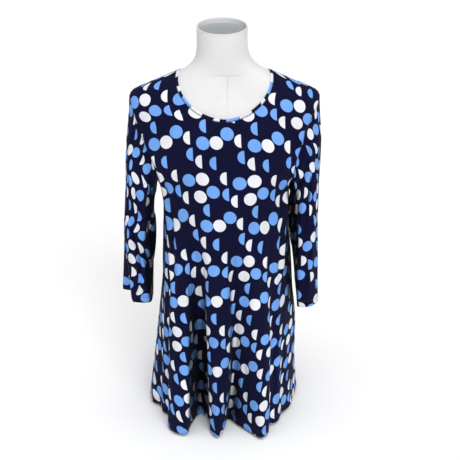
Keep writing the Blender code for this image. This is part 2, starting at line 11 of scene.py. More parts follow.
import bpy
import numpy as np
from mathutils.bvhtree import BVHTree
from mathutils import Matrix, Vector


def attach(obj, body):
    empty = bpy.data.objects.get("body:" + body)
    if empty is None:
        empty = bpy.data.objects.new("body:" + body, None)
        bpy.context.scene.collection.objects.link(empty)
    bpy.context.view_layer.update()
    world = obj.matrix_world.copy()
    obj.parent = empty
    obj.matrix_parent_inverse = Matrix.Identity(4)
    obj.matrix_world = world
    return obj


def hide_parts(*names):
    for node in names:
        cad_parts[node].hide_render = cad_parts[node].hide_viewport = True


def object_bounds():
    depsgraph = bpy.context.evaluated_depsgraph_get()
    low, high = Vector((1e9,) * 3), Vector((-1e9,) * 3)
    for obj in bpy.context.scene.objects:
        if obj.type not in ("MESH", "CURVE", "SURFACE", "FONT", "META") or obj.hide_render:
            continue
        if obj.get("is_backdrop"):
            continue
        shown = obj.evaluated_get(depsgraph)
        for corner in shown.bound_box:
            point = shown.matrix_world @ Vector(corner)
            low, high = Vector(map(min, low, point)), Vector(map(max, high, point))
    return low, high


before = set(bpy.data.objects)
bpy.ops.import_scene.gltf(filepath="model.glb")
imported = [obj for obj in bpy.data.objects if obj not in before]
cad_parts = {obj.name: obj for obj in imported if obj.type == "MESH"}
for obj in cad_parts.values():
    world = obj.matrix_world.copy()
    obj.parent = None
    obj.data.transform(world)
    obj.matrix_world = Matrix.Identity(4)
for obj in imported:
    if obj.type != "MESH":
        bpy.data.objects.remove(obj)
cad_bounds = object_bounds()

# Cloth
CLOTH = 0.0009  # thickness of the jersey
CLOTH_MAP = "Cloth"  # the name of the cloth's flat coordinates on its meshes
FORM_COVER = "form_cover"

# Heights that the garment is drawn from
HEM_HEIGHT = 0.008
FOLD_MID_HEIGHT = 0.25  # the height of the fold table's middle columns
FOLD_TOP_HEIGHT = 0.585  # the skirt's folds have faded out here
FOLD_FADE = 0.12
PLACES_ROUND = 4  # the places once round the garment: see fold_knots
ARMPIT_HEIGHT = 0.608
SHOULDER_TIP_HEIGHT = 0.806

# Neckline: a scoop, drawn in front view as part of a superellipse
NECKLINE_HALF_WIDTH = 0.1025
NECKLINE_WIDEST_HEIGHT = 0.852
NECKLINE_DROP = 0.081
NECKLINE_SQUARENESS = 1.8
NECK_SIDE_HEIGHT = 0.8615  # where the neckline's edge crosses the shoulder
BACK_NECK_DROP = 0.0165
BACK_SEAM_DROP = 0.0195

# Sleeves
SLEEVE_MID_HEIGHT = 0.52  # the height of the sleeve tables' middle columns
# Height over which the armhole's shape gives way to the hanging tube, below the armpit
# and below the shoulder tip
SLEEVE_FADES = (0.06, 0.09)
SLEEVE_FOLD_START = 1.5  # how softly a sleeve's folds begin below its middle height
RIGHT_SLEEVE_LEAN = 0.082  # the tube's shift in x for each metre up
LEFT_SLEEVE_LEAN = -0.010

# The dress form's neck
NECK_LEAN = -0.005  # the neck stands a little to the wearer's right
NECK_LEAN_HEIGHTS = (0.84, 0.92)
NECK_TILT_START = 0.905
NECK_TILT_SLOPE = 0.2035  # rise of the rim for each metre backwards
RIM_HEIGHT = 0.958
RIM_WIDTH = 0.003
CAP_RECESS = 0.012
CAP_THICKNESS = 0.002

# The tunic's smooth shape, without its folds
CLOTH_SECTIONS = [
    # height, right side, left side, front, back, squareness
    (0.008, 0.186, 0.184, 0.140, 0.132, 2.2),
    (0.120, 0.176, 0.177, 0.136, 0.126, 2.2),
    (0.250, 0.164, 0.174, 0.131, 0.119, 2.2),
    (0.366, 0.153, 0.160, 0.128, 0.113, 2.2),
    (0.473, 0.146, 0.154, 0.127, 0.109, 2.2),
    (0.558, 0.147, 0.152, 0.128, 0.108, 2.2),
    (0.608, 0.158, 0.158, 0.127, 0.110, 2.2),
    (0.640, 0.180, 0.180, 0.125, 0.113, 2.3),
    (0.680, 0.200, 0.200, 0.119, 0.115, 2.4),
    (0.715, 0.212, 0.212, 0.111, 0.114, 2.4),
    (0.750, 0.218, 0.218, 0.102, 0.110, 2.4),
    (0.785, 0.219, 0.219, 0.091, 0.102, 2.4),
    (0.806, 0.2155, 0.2155, 0.0820, 0.0920, 2.3),
    (0.8147, 0.2098, 0.2098, 0.078, 0.087, 2.2),
    (0.830, 0.1776, 0.1776, 0.0715, 0.078, 2.1),
    (0.8467, 0.1373, 0.1373, 0.065, 0.069, 2.0),
    (0.8585, 0.1092, 0.1092, 0.0608, 0.0635, 2.0),
    (0.8615, 0.1022, 0.1022, 0.0600, 0.0625, 2.0),
    (0.8703, 0.0845, 0.0845, 0.0590, 0.0610, 2.0),
]

# Where the armhole seams run, as distance from the middle of the garment
ARMHOLE = [
    # height, front, back
    (0.608, 0.1580, 0.1580),
    (0.622, 0.1578, 0.1585),
    (0.640, 0.1585, 0.1610),
    (0.660, 0.1625, 0.1660),
    (0.684, 0.1715, 0.1755),
    (0.716, 0.1844, 0.1880),
    (0.769, 0.2020, 0.2040),
    (0.789, 0.2080, 0.2090),
    (0.806, 0.2155, 0.2155),
]

# The skirt's folds. Each row is a turning point of the cloth seen from above, at the
# hem and at the middle height, from the wearer's right side seam across the front.
FRONT_FOLDS = [
    # what, hem x, hem y, middle x, middle y
    ("side seam", -0.197, -0.004, -0.166, -0.003),
    ("side pleat", -0.190, -0.036, -0.160, -0.036),
    ("tuck", -0.166, -0.056, -0.152, -0.060),
    ("small pleat", -0.158, -0.084, -0.146, -0.084),
    ("step", -0.144, -0.094, -0.134, -0.098),
    ("flute edge", -0.139, -0.152, -0.129, -0.132),
    ("flute crest", -0.120, -0.172, -0.113, -0.149),
    ("flute corner", -0.097, -0.178, -0.092, -0.150),
    ("flute edge", -0.083, -0.134, -0.080, -0.128),
    ("trough", -0.060, -0.090, -0.060, -0.104),
    ("rise", -0.040, -0.118, -0.044, -0.121),
    ("flute edge", -0.034, -0.170, -0.038, -0.150),
    ("flute crest", -0.019, -0.189, -0.020, -0.163),
    ("flute edge", -0.006, -0.168, 0.003, -0.152),
    ("centre trough", 0.008, -0.117, 0.022, -0.121),
    ("rise", 0.034, -0.142, 0.042, -0.131),
    ("flute slope", 0.064, -0.172, 0.064, -0.148),
    ("flute crest", 0.087, -0.192, 0.086, -0.157),
    ("flute edge", 0.106, -0.172, 0.105, -0.142),
    ("step", 0.110, -0.142, 0.112, -0.118),
    ("small pleat", 0.130, -0.126, 0.130, -0.104),
    ("tuck", 0.143, -0.092, 0.142, -0.082),
    ("small pleat", 0.166, -0.058, 0.158, -0.055),
    ("side pleat", 0.176, -0.022, 0.170, -0.026),
    ("side seam", 0.186, 0.016, 0.177, 0.004),
]
FRONT_CENTRE = 14  # the row that lies on the centre front

# The same round the back, from the wearer's left side seam to the right one
BACK_FOLDS = [
    # what, hem x, hem y, middle x, middle y
    ("flute crest", 0.189, 0.062, 0.170, 0.046),
    ("trough", 0.148, 0.090, 0.142, 0.084),
    ("flute crest", 0.122, 0.158, 0.114, 0.132),
    ("trough", 0.078, 0.112, 0.076, 0.114),
    ("flute crest", 0.046, 0.184, 0.042, 0.153),
    ("centre trough", -0.002, 0.124, 0.000, 0.124),
    ("flute crest", -0.050, 0.180, -0.044, 0.152),
    ("trough", -0.082, 0.116, -0.078, 0.116),
    ("flute crest", -0.126, 0.160, -0.114, 0.132),
    ("trough", -0.146, 0.094, -0.136, 0.086),
    ("flute crest", -0.189, 0.066, -0.160, 0.046),
]
BACK_CENTRE = 5

# The hanging sleeves seen from above, from the outer line round the front
RIGHT_SLEEVE = [
    # what, middle x, middle y, cuff x, cuff y
    ("outer line", -0.2385, -0.005, -0.2600, 0.030),
    ("valley", -0.2370, -0.036, -0.2330, 0.016),
    ("front fold", -0.2220, -0.062, -0.2260, -0.042),
    ("front", -0.1900, -0.066, -0.1830, -0.044),
    ("inner front", -0.1700, -0.036, -0.1800, -0.014),
    ("inner", -0.1715, 0.014, -0.1870, 0.034),
    ("back", -0.1930, 0.062, -0.2150, 0.062),
    ("outer back", -0.2260, 0.048, -0.2490, 0.058),
]
LEFT_SLEEVE = [
    # what, middle x, middle y, cuff x, cuff y
    ("outer line", 0.2240, 0.002, 0.2310, 0.000),
    ("outer front", 0.2180, -0.038, 0.2290, -0.030),
    ("front fold", 0.1970, -0.067, 0.2000, -0.060),
    ("front", 0.1730, -0.060, 0.1790, -0.058),
    ("inner front", 0.1600, -0.028, 0.1785, -0.030),
    ("inner", 0.1600, 0.018, 0.1820, 0.015),
    ("back", 0.1820, 0.060, 0.1930, 0.055),
    ("outer back", 0.2140, 0.046, 0.2220, 0.045),
]
RIGHT_CUFF_HEIGHT = 0.300
LEFT_CUFF_HEIGHT = 0.294

# The dress form: its sections are round in front view at the shoulders and neck
FORM_SECTIONS = [
    # height, side, front, back, squareness
    (0.000, 0.136, 0.074, 0.082, 2.2),
    (0.004, 0.140, 0.078, 0.086, 2.2),
    (0.080, 0.146, 0.082, 0.094, 2.2),
    (0.180, 0.150, 0.086, 0.104, 2.2),
    (0.270, 0.147, 0.087, 0.106, 2.2),
    (0.360, 0.136, 0.084, 0.098, 2.2),
    (0.440, 0.124, 0.082, 0.086, 2.15),
    (0.500, 0.126, 0.092, 0.086, 2.15),
    (0.555, 0.134, 0.113, 0.096, 2.15),
    (0.608, 0.143, 0.1245, 0.1075, 2.2),
    (0.640, 0.151, 0.1228, 0.1107, 2.3),
    (0.680, 0.167, 0.1168, 0.1127, 2.4),
    (0.715, 0.180, 0.1087, 0.1117, 2.4),
    (0.750, 0.189, 0.0997, 0.1077, 2.4),
    (0.782, 0.1945, 0.0895, 0.1003, 2.4),
    (0.800, 0.1955, 0.0822, 0.0925, 2.35),
    (0.812, 0.1930, 0.0765, 0.0855, 2.25),
    (0.820, 0.1860, 0.0735, 0.0815, 2.15),
    (0.8277, 0.1735, 0.0697, 0.0765, 2.1),
    (0.8444, 0.1373, 0.0630, 0.0670, 2.0),
    (0.8562, 0.1092, 0.0588, 0.0615, 2.0),
    (0.8592, 0.1022, 0.0580, 0.0605, 2.0),
    (0.8680, 0.0845, 0.0570, 0.0590, 2.0),
    (0.8800, 0.0700, 0.0565, 0.0580, 2.0),
    (0.8930, 0.0615, 0.0563, 0.0572, 2.0),
    (0.9100, 0.0575, 0.0562, 0.0565, 2.0),
    (0.9350, 0.0565, 0.0562, 0.0565, 2.0),
    (0.9580, 0.0566, 0.0564, 0.0566, 2.0),
]

# Seams, hems and stitching
FAR = 1.0  # a distance that no seam or hem is near
SEAM_HOLD = 0.009  # creases fade out this near a seam, so that the pieces meet
SEAM_GROOVE = 0.0022
SEAM_DEPTH = 0.0012
SEAM_SHADE = 0.55
HEM_DEPTH = 0.020  # height of the turned hem
HEM_STEP = 0.0008  # half the width of the step where the turned hem ends
HEM_RELIEF = 0.5  # its height, as a share of a seam's depth
COVERSTITCH_ROWS = (0.0150, 0.0188)  # heights of the stitching above a hem's edge
STITCH_PITCH = 0.0030
STITCH_SHARE = 0.86  # how much of each step the stitch itself fills
STITCH_SIDES = 5
STITCH_AIM = 0.3  # steps ahead and behind between which a stitch points
STITCH_RINGS = [
    # place from end to end, thickness and rise in thread radii
    (-0.50, 0.45, -0.6),
    (-0.36, 0.95, 0.3),
    (0.36, 0.95, 0.3),
    (0.50, 0.45, -0.6),
]
THREAD_RADIUS = 0.00024

# Neck binding
BINDING_CLOTH = 0.0015
BINDING_WIDTH = 0.0065
BINDING_STEPS = 20
BINDING_RISE = -0.0002  # the band's middle above the panels' surface
BINDING_EDGE_POWER = 0.55  # of its outline in cross-section: lower is squarer
BINDING_FACE_POWER = 0.75
BINDING_STITCH_PLACE = 0.22  # share of its width, from the seam

# The cut pieces: (width, length) of the cloth and its flat area
FRONT_CUT = (1.06, 0.84)
FRONT_AREA = 0.55
BACK_CUT = (0.90, 0.86)
BACK_AREA = 0.50

# The print: each motif's centre in metres, across to the right and down from a blue dot
REPEAT_ACROSS = (0.112, 0.0064)
REPEAT_DOWN = (0.0070, 0.189)
DOT_RADIUS = 0.0146
HALF_DOT_SHIFT = 0.0073  # from the middle of a half dot to the middle of its circle
BLUE_MOTIFS = [
    # shape, across, down
    ("dot", 0.0000, 0.0000),
    ("dot", 0.0532, -0.0205),
    ("half", -0.0004, -0.0373),
    ("half", -0.0293, 0.0248),
    ("half", 0.0220, 0.0436),
    ("dot", -0.0322, 0.0830),
    ("dot", 0.0224, 0.1086),
    ("half", 0.0501, 0.1142),
]
WHITE_MOTIFS = [
    ("dot", 0.0296, -0.0011),
    ("half", 0.0761, -0.0049),
    ("half", -0.0094, 0.0405),
    ("dot", -0.0014, 0.0795),
    ("half", 0.0449, 0.0774),
    ("dot", -0.0068, 0.1209),
    ("half", 0.0692, 0.1302),
]
# Where a blue dot of the repeat lies on each cut piece, in its own flat coordinates
FRONT_PRINT_ORIGIN = (-0.0472, -0.1142)
BACK_PRINT_ORIGIN = (0.021, -0.094)
RIGHT_SLEEVE_PRINT_ORIGIN = (0.1250, 0.1149)
LEFT_SLEEVE_PRINT_ORIGIN = (0.0098, 0.1566)
BINDING_PRINT_ORIGIN = (-0.009, 0.0062)
BINDING_STRETCH = 1.045  # the band is stretched a little as it is sewn on
# The panels' sides have slipped down past the bust: how far, from where across, how far
# down the slip grows from its share on the upper chest to its whole, and where the
# flare of the skirt takes it up again
SIDE_DROOP = 0.036
DROOP_ACROSS = (0.06, 0.18)
DROOP_DOWN = (0.03, 0.19)
DROOP_TAKEN_UP = (0.10, 0.48)
UPPER_DROOP = 0.35
# Below the bust the small folds take up cloth that the sections don't show, and the
# grain leans a little: from how far down, the share across and down, and the lean
TAKE_UP_START = 0.18
TAKE_UP_FADE = 0.15
TAKE_UP = (0.08, 0.080)
GRAIN_LEAN = 0.065
FLUTE_LEAN = 0.14  # more of it on the wearer's right, from where across to where
FLUTE_LEAN_ACROSS = (0.05, 0.11)
WAIST_SHIFT = 0.010  # and a step of the print to the side at the waist
WAIST_SHIFT_FADE = 0.14
# The front's shoulders are pulled outwards and down, and its sides and waist are worn
# a little askew: where each shift of the print is centred, how far it reaches and how
# far it goes, each across and down
SHOULDER_FADE = (0.06, 0.05)
SHOULDER_PULLS = [
    # side of the middle, from where across, from how far up, shift across, shift down
    (-1, 0.05, 0.155, 0.012, -0.009),
    (1, 0.02, 0.150, 0.000, -0.005),
    (1, 0.05, 0.205, -0.010, -0.003),
]
FRONT_PRINT_SHIFTS = [
    # centre across, centre down, reach across, reach down, shift across, shift down
    (0.110, 0.140, 0.060, 0.090, 0.010, -0.002),
    (0.085, -0.050, 0.040, 0.060, -0.006, 0.001),
    (-0.130, 0.170, 0.040, 0.050, -0.007, 0.003),
    (-0.120, 0.070, 0.040, 0.050, 0.000, -0.010),
    (0.020, 0.205, 0.250, 0.070, 0.009, 0.003),
    (0.170, 0.215, 0.050, 0.060, 0.000, 0.008),
]
SLEEVE_TAKE_UP = 0.08
SLEEVE_GRAIN_TURN = 9.0  # degrees that the sleeves' grain is turned, as they are set in
# Pulls of the print round a sleeve: how far, how far down each begins and is whole, and
# how far down it begins to fade and is gone. The right one is pulled round at the elbow.
RIGHT_SLEEVE_PULLS = [(-0.038, (0.145, 0.205), (0.270, 0.345))]
LEFT_SLEEVE_PULLS = []
LEAST_FALL = 0.8  # of a step's length in the skirt counts as down, however it slants

# The jersey's surface
NOISE_RANGE = (0.3, 0.7)  # the values between which most of a noise lies
EDGE_WAVER = 0.00035
EDGE_SOFTNESS = 0.00018
GRAIN_SCALE = 620.0
GRAIN_SPECKLE = (0.38, 0.72)  # the grain between a dot's full ink and its dim ink
CLOUD_SCALE = 9.0
CLOUD_SHADES = (0.9, 1.06)
KNIT_SIZE = 0.0009  # a knitted stitch's width
KNIT_HEIGHT = 0.8  # a stitch's height as a share of its width
KNIT_SLANT = 1.4  # how far the stitches' rows bend into V shapes
KNIT_LOOPS = 0.5  # the rows' height as a share of the columns'
KNIT_BUMP = (0.00025, 0.5)  # depth and strength
WRONG_SIDE_FADE = 0.62
JERSEY_ROUGHNESS = (0.72, 0.86)
JERSEY_FINISH = {
    "Specular_IOR_Level": 0.04,
    "Sheen_Weight": 0.02,
    "Sheen_Roughness": 0.5,
    "Sheen_Tint": (0.75, 0.8, 1.0, 1.0),
}
THREAD_NOISE_SCALE = 1800.0
THREAD_BUMP = (0.0001, 0.6)
THREAD_FINISH = {"Roughness": 0.55, "Specular_IOR_Level": 0.35, "Sheen_Weight": 0.1}

# Painted shade in deep folds: the cloth's colour is darkened where other cloth hems it in within
# the reach
SHADE_REACH = 0.12
SHADE_RAYS = 24
SHADE_STEP = 2  # worked out at every second row and column
SHADE_LIFT = 0.002
SHADE_RANGE = (0.28, 0.79)  # the share of open air from darkest to full colour
SHADE_DARKEST = 0.12

# Colours: (red, green, blue, alpha), linear
NAVY = (0.0052, 0.0056, 0.029, 1.0)
BLUE = (0.175, 0.385, 0.86, 1.0)
BLUE_DIM = (0.140, 0.325, 0.77, 1.0)
WHITE = (0.84, 0.85, 0.90, 1.0)
WHITE_DIM = (0.62, 0.63, 0.70, 1.0)
WRONG_SIDE = (0.040, 0.042, 0.075, 1.0)
# painted shade for the jersey's seam grooves
JERSEY_SEAM_SHADOW = (0.004, 0.004, 0.012, 1.0)
THREAD = (0.010, 0.010, 0.032, 1.0)
THREAD_LIGHT = (0.024, 0.024, 0.060, 1.0)
COVER = (0.71, 0.71, 0.715, 1.0)
COVER_SHADE = (0.67, 0.67, 0.68, 1.0)
COVER_FLECK = (0.60, 0.60, 0.61, 1.0)
# painted shade for the cover's seam grooves
COVER_SEAM_SHADOW = (0.46, 0.46, 0.47, 1.0)
CAP = (0.28, 0.30, 0.31, 1.0)
CAP_PALE = (0.32, 0.34, 0.35, 1.0)
FLOOR = (0.96, 0.96, 0.96, 1.0)
FLOOR_SHADE = (0.945, 0.945, 0.95, 1.0)
STUDIO = (1.0, 1.0, 1.0, 1.0)

# The dress form's cover, rim and cap
FORM_COLUMNS = 192
FORM_HIDDEN_ROWS = 50
FORM_ROWS = 110
FORM_SHOWS = 0.70  # the form is finely made above this height
RIM_ROUND = 0.0015
RIM_STEPS = 7
NECK_FIRST_DEPTH = 0.2  # the first ring inside the neck, as a share of the way to the cap
GATHERS = 38
GATHER_DEPTH = 0.0005
GATHER_LEAST = 0.35  # share of their depth that the gathers have in front and behind
GATHER_CLOSENESS = 6  # how closely the deepest gathers keep to the two sides
COVER_SEAM_X = 0.0068  # where the chest seam runs
COVER_SEAM_WIDTH = 0.0034
COVER_SEAM_SHADE = 0.35
COVER_SEAM_DEPTH = 0.0006
COVER_COLLAR_HEIGHT = 0.865  # the neck seam, where it crosses the middle of the neck
COVER_COLLAR_SLOPE = 0.12
COVER_COLLAR_REACH = (0.010, 0.046)  # how far to each side the neck seam shows, and fades
COVER_CHEST_REACH = 0.085  # how far down from the neck seam the chest seam shows
COVER_CHEST_FAINTEST = 0.35
COVER_CLOUD_SCALE = 14.0
COVER_CLOUDS = (0.35, 0.65)
COVER_FLECK_SCALE = 900.0
COVER_FLECKS = (0.45, 0.8, 0.0, 0.3)  # the noise from no fleck to the strongest, and how strong
COVER_KNIT_SCALE = 1500.0
COVER_KNIT_STRETCH = (1.0, 1.0, 0.45)
COVER_KNIT_BUMP = (0.0002, 0.5)
COVER_UNEVEN_SCALE = 38.0
COVER_UNEVEN_BUMP = (0.0012, 0.18)
COVER_FINISH = {
    "Roughness": 0.82,
    "Specular_IOR_Level": 0.25,
    "Sheen_Weight": 0.15,
    "Sheen_Roughness": 0.5,
}
CAP_GAP = 0.0003
CAP_PROFILE = [
    # share of the radius, rise
    (1.0, 0.0),
    (1.0, 0.8),
    (0.99, 1.0),
    (0.95, 1.0),
    (0.93, 0.9),
    (0.90, 0.62),
    (0.5, 0.6),
    (0.12, 0.6),
    (0.1, 0.52),
    (0.02, 0.5),
]
CAP_GRAIN_SCALE = 600.0
CAP_CLOUD_SCALE = 30.0
CAP_BUMP = (0.0002, 0.35)
CAP_ROUGHNESS = (0.42, 0.58)
CAP_SHINE = 0.45

# Studio
FLOOR_REACH = 30.0
FLOOR_SPOT_SCALE = 3.0
FLOOR_FINISH = {"Roughness": 0.9, "Specular_IOR_Level": 0.2}
LIGHTS = [
    # name, strength, softness, elevation and azimuth in degrees, colour
    ("key", 1.38, 30.0, 34.0, 20.0, (1.0, 0.995, 0.985)),
    ("fill", 0.15, 60.0, 22.0, -42.0, (0.985, 0.99, 1.0)),
    ("top", 2.20, 60.0, 84.0, 0.0, (1.0, 1.0, 1.0)),
]
STUDIO_STRENGTH = 0.12
WALL_STRENGTH = 0.66
WALL_TOP = (0.18, 0.42)  # the rise, per metre of view, where the walls begin and end to darken
CAMERA_PLACE = (0.0124, -1.80, 1.20)
CAMERA_TILT = 68.0
CAMERA_LENS = 62.6
CAMERA_SENSOR = 36.0

# A crease's shape: the share of its length that is cut off at each end, a power for its
# height along its length (lower is fuller), and its end's width as a share of its middle's
CREASE_CUT = 0.05
CREASE_FULLNESS = 0.7
CREASE_END_WIDTH = 0.6

# Creases: where each starts and ends, across and up; how far its middle bows to the
# side; half its width; and its height, which is negative for a trough
FRONT_CREASES = [
    # what, start x, start z, end x, end z, bow, half width, height
    ("cap drag", -0.180, 0.728, -0.142, 0.632, 0.000, 0.0048, 0.0060),
    ("armhole valley", -0.192, 0.728, -0.156, 0.626, -0.003, 0.0075, -0.0100),
    ("inner trough", -0.172, 0.712, -0.136, 0.620, -0.003, 0.0060, -0.0040),
    ("side drag", -0.148, 0.646, -0.130, 0.520, 0.003, 0.0045, 0.0064),
    ("side trough", -0.139, 0.630, -0.121, 0.470, 0.003, 0.0045, -0.0044),
    ("bust drag", -0.134, 0.616, -0.098, 0.545, 0.004, 0.0080, 0.0020),
    ("side pleat", -0.131, 0.560, -0.121, 0.370, -0.003, 0.0044, 0.0056),
    ("pleat trough", -0.122, 0.540, -0.113, 0.330, -0.002, 0.0050, -0.0034),
    ("side swell", -0.142, 0.545, -0.147, 0.350, -0.001, 0.0060, 0.0050),
    ("side ripple", -0.112, 0.530, -0.104, 0.330, 0.001, 0.0060, 0.0022),
    ("low pleat", -0.121, 0.400, -0.131, 0.180, -0.001, 0.0050, 0.0030),
    ("armhole valley", 0.203, 0.772, 0.156, 0.644, 0.001, 0.0070, -0.0100),
    ("inner drag", 0.176, 0.746, 0.148, 0.660, 0.002, 0.0046, 0.0064),
    ("inner trough", 0.162, 0.736, 0.140, 0.650, 0.003, 0.0055, -0.0040),
    ("armpit ridge", 0.180, 0.730, 0.158, 0.640, 0.001, 0.0034, 0.0050),
    ("armpit slit", 0.173, 0.712, 0.151, 0.622, 0.002, 0.0032, -0.0056),
    ("armpit drag", 0.164, 0.694, 0.142, 0.600, 0.002, 0.0044, 0.0058),
    ("armpit trough", 0.151, 0.668, 0.134, 0.560, 0.003, 0.0044, -0.0050),
    ("side drag", 0.146, 0.640, 0.127, 0.500, 0.003, 0.0044, 0.0060),
    ("side trough", 0.132, 0.600, 0.118, 0.440, 0.002, 0.0052, -0.0032),
    ("side pleat", 0.128, 0.560, 0.122, 0.400, -0.002, 0.0050, 0.0036),
    ("side pleat", 0.140, 0.570, 0.138, 0.380, -0.001, 0.0044, 0.0054),
    ("side swell", 0.158, 0.460, 0.164, 0.330, 0.000, 0.0090, 0.0030),
    ("pleat trough", 0.134, 0.540, 0.130, 0.360, -0.001, 0.0045, -0.0034),
    ("side ripple", 0.112, 0.540, 0.106, 0.330, 0.001, 0.0060, 0.0024),
    ("waist ripple", 0.088, 0.480, 0.084, 0.250, 0.002, 0.0075, -0.0026),
    ("waist ripple", 0.070, 0.440, 0.066, 0.240, 0.000, 0.0080, 0.0022),
    ("waist ripple", 0.044, 0.455, 0.040, 0.260, 0.000, 0.0080, -0.0020),
    ("waist ripple", 0.019, 0.480, 0.018, 0.250, 0.002, 0.0065, -0.0026),
    ("waist ripple", 0.004, 0.470, 0.000, 0.260, 0.001, 0.0065, 0.0026),
    ("waist ripple", -0.050, 0.470, -0.056, 0.260, 0.001, 0.0075, -0.0028),
    ("waist ripple", -0.036, 0.450, -0.040, 0.260, 0.001, 0.0060, 0.0026),
    ("waist ripple", -0.086, 0.450, -0.090, 0.250, -0.001, 0.0075, 0.0022),
    ("hem ripple", 0.045, 0.210, 0.050, 0.030, 0.002, 0.0070, -0.0024),
    ("hem ripple", -0.112, 0.230, -0.118, 0.030, -0.002, 0.0065, -0.0024),
    ("hem ripple", 0.142, 0.300, 0.150, 0.050, 0.002, 0.0055, 0.0028),
    ("hem ripple", 0.120, 0.260, 0.124, 0.040, -0.002, 0.0055, -0.0026),
    ("shoulder slack", -0.150, 0.800, -0.112, 0.768, 0.003, 0.0100, 0.0012),
    ("shoulder slack", 0.150, 0.802, 0.118, 0.762, -0.003, 0.0100, 0.0012),
    ("chest slack", -0.060, 0.700, 0.020, 0.640, 0.010, 0.0160, 0.0010),
    ("bust slack", 0.104, 0.640, 0.060, 0.600, -0.006, 0.0120, 0.0012),
]
BACK_CREASES = [
    ("armhole drag", -0.180, 0.730, -0.150, 0.610, -0.004, 0.0070, 0.0028),
    ("armhole trough", -0.166, 0.724, -0.138, 0.596, -0.004, 0.0065, -0.0020),
    ("armhole drag", 0.176, 0.722, 0.146, 0.604, 0.004, 0.0075, 0.0026),
    ("armhole trough", 0.160, 0.722, 0.130, 0.590, 0.005, 0.0065, -0.0020),
    ("shoulder blade", -0.150, 0.650, -0.080, 0.560, -0.006, 0.0120, 0.0018),
    ("shoulder blade", 0.146, 0.640, 0.084, 0.560, 0.006, 0.0120, 0.0018),
    ("waist ripple", -0.122, 0.560, -0.116, 0.330, 0.002, 0.0070, 0.0022),
    ("waist ripple", -0.092, 0.500, -0.086, 0.270, -0.002, 0.0080, -0.0020),
    ("waist ripple", -0.058, 0.480, -0.052, 0.260, 0.001, 0.0075, 0.0018),
    ("waist ripple", -0.016, 0.500, -0.012, 0.280, 0.002, 0.0085, -0.0018),
    ("waist ripple", 0.024, 0.470, 0.028, 0.240, -0.001, 0.0075, 0.0020),
    ("waist ripple", 0.064, 0.490, 0.066, 0.270, 0.001, 0.0080, -0.0018),
    ("waist ripple", 0.100, 0.520, 0.098, 0.280, 0.001, 0.0070, 0.0022),
    ("waist ripple", 0.128, 0.560, 0.130, 0.340, 0.001, 0.0065, -0.0020),
    ("hem ripple", -0.100, 0.220, -0.108, 0.040, -0.002, 0.0070, 0.0020),
    ("hem ripple", 0.020, 0.230, 0.024, 0.040, 0.002, 0.0075, -0.0020),
    ("hem ripple", 0.150, 0.240, 0.160, 0.040, 0.002, 0.0065, 0.0020),
    ("neck slack", -0.070, 0.800, 0.066, 0.796, 0.008, 0.0120, 0.0010),
]
# On the sleeves, across is the distance round from the outer line over the front
RIGHT_SLEEVE_CREASES = [
    ("cap fold", 0.078, 0.776, 0.132, 0.690, -0.004, 0.0060, 0.0034),
    ("cap trough", 0.066, 0.744, 0.112, 0.676, -0.004, 0.0070, -0.0026),
    ("armpit drag", 0.134, 0.706, 0.186, 0.596, -0.004, 0.0055, 0.0050),
    ("armpit trough", 0.156, 0.694, 0.214, 0.590, -0.004, 0.0080, -0.0060),
    ("armpit fold", 0.176, 0.640, 0.120, 0.560, 0.006, 0.0060, 0.0036),
    ("elbow trough", 0.166, 0.590, 0.116, 0.530, 0.005, 0.0060, -0.0036),
    ("inner bulge", 0.222, 0.520, 0.172, 0.405, 0.000, 0.0150, 0.0050),
    ("inner hollow", 0.256, 0.572, 0.226, 0.520, 0.000, 0.0140, -0.0040),
    ("inner fold", 0.190, 0.585, 0.148, 0.480, 0.004, 0.0055, 0.0050),
    ("inner trough", 0.200, 0.560, 0.150, 0.400, 0.006, 0.0100, -0.0070),
    ("low inner fold", 0.150, 0.460, 0.134, 0.340, 0.003, 0.0060, 0.0030),
    ("flap edge", 0.120, 0.530, 0.094, 0.300, 0.006, 0.0048, 0.0044),
    ("flap trough", 0.109, 0.530, 0.084, 0.300, 0.006, 0.0045, -0.0070),
    ("elbow fold", 0.070, 0.545, 0.118, 0.495, -0.005, 0.0065, 0.0030),
    ("outer fold", 0.034, 0.520, 0.030, 0.360, 0.003, 0.0070, 0.0024),
    ("back drag", 0.262, 0.540, 0.300, 0.440, 0.006, 0.0075, 0.0036),
    ("back trough", 0.280, 0.550, 0.318, 0.450, 0.006, 0.0070, -0.0030),
    ("back ripple", 0.285, 0.500, 0.270, 0.350, 0.002, 0.0070, 0.0030),
    ("back elbow", 0.260, 0.520, 0.300, 0.470, 0.003, 0.0080, -0.0032),
    ("outer slack", 0.022, 0.740, 0.030, 0.620, 0.004, 0.0090, 0.0020),
]
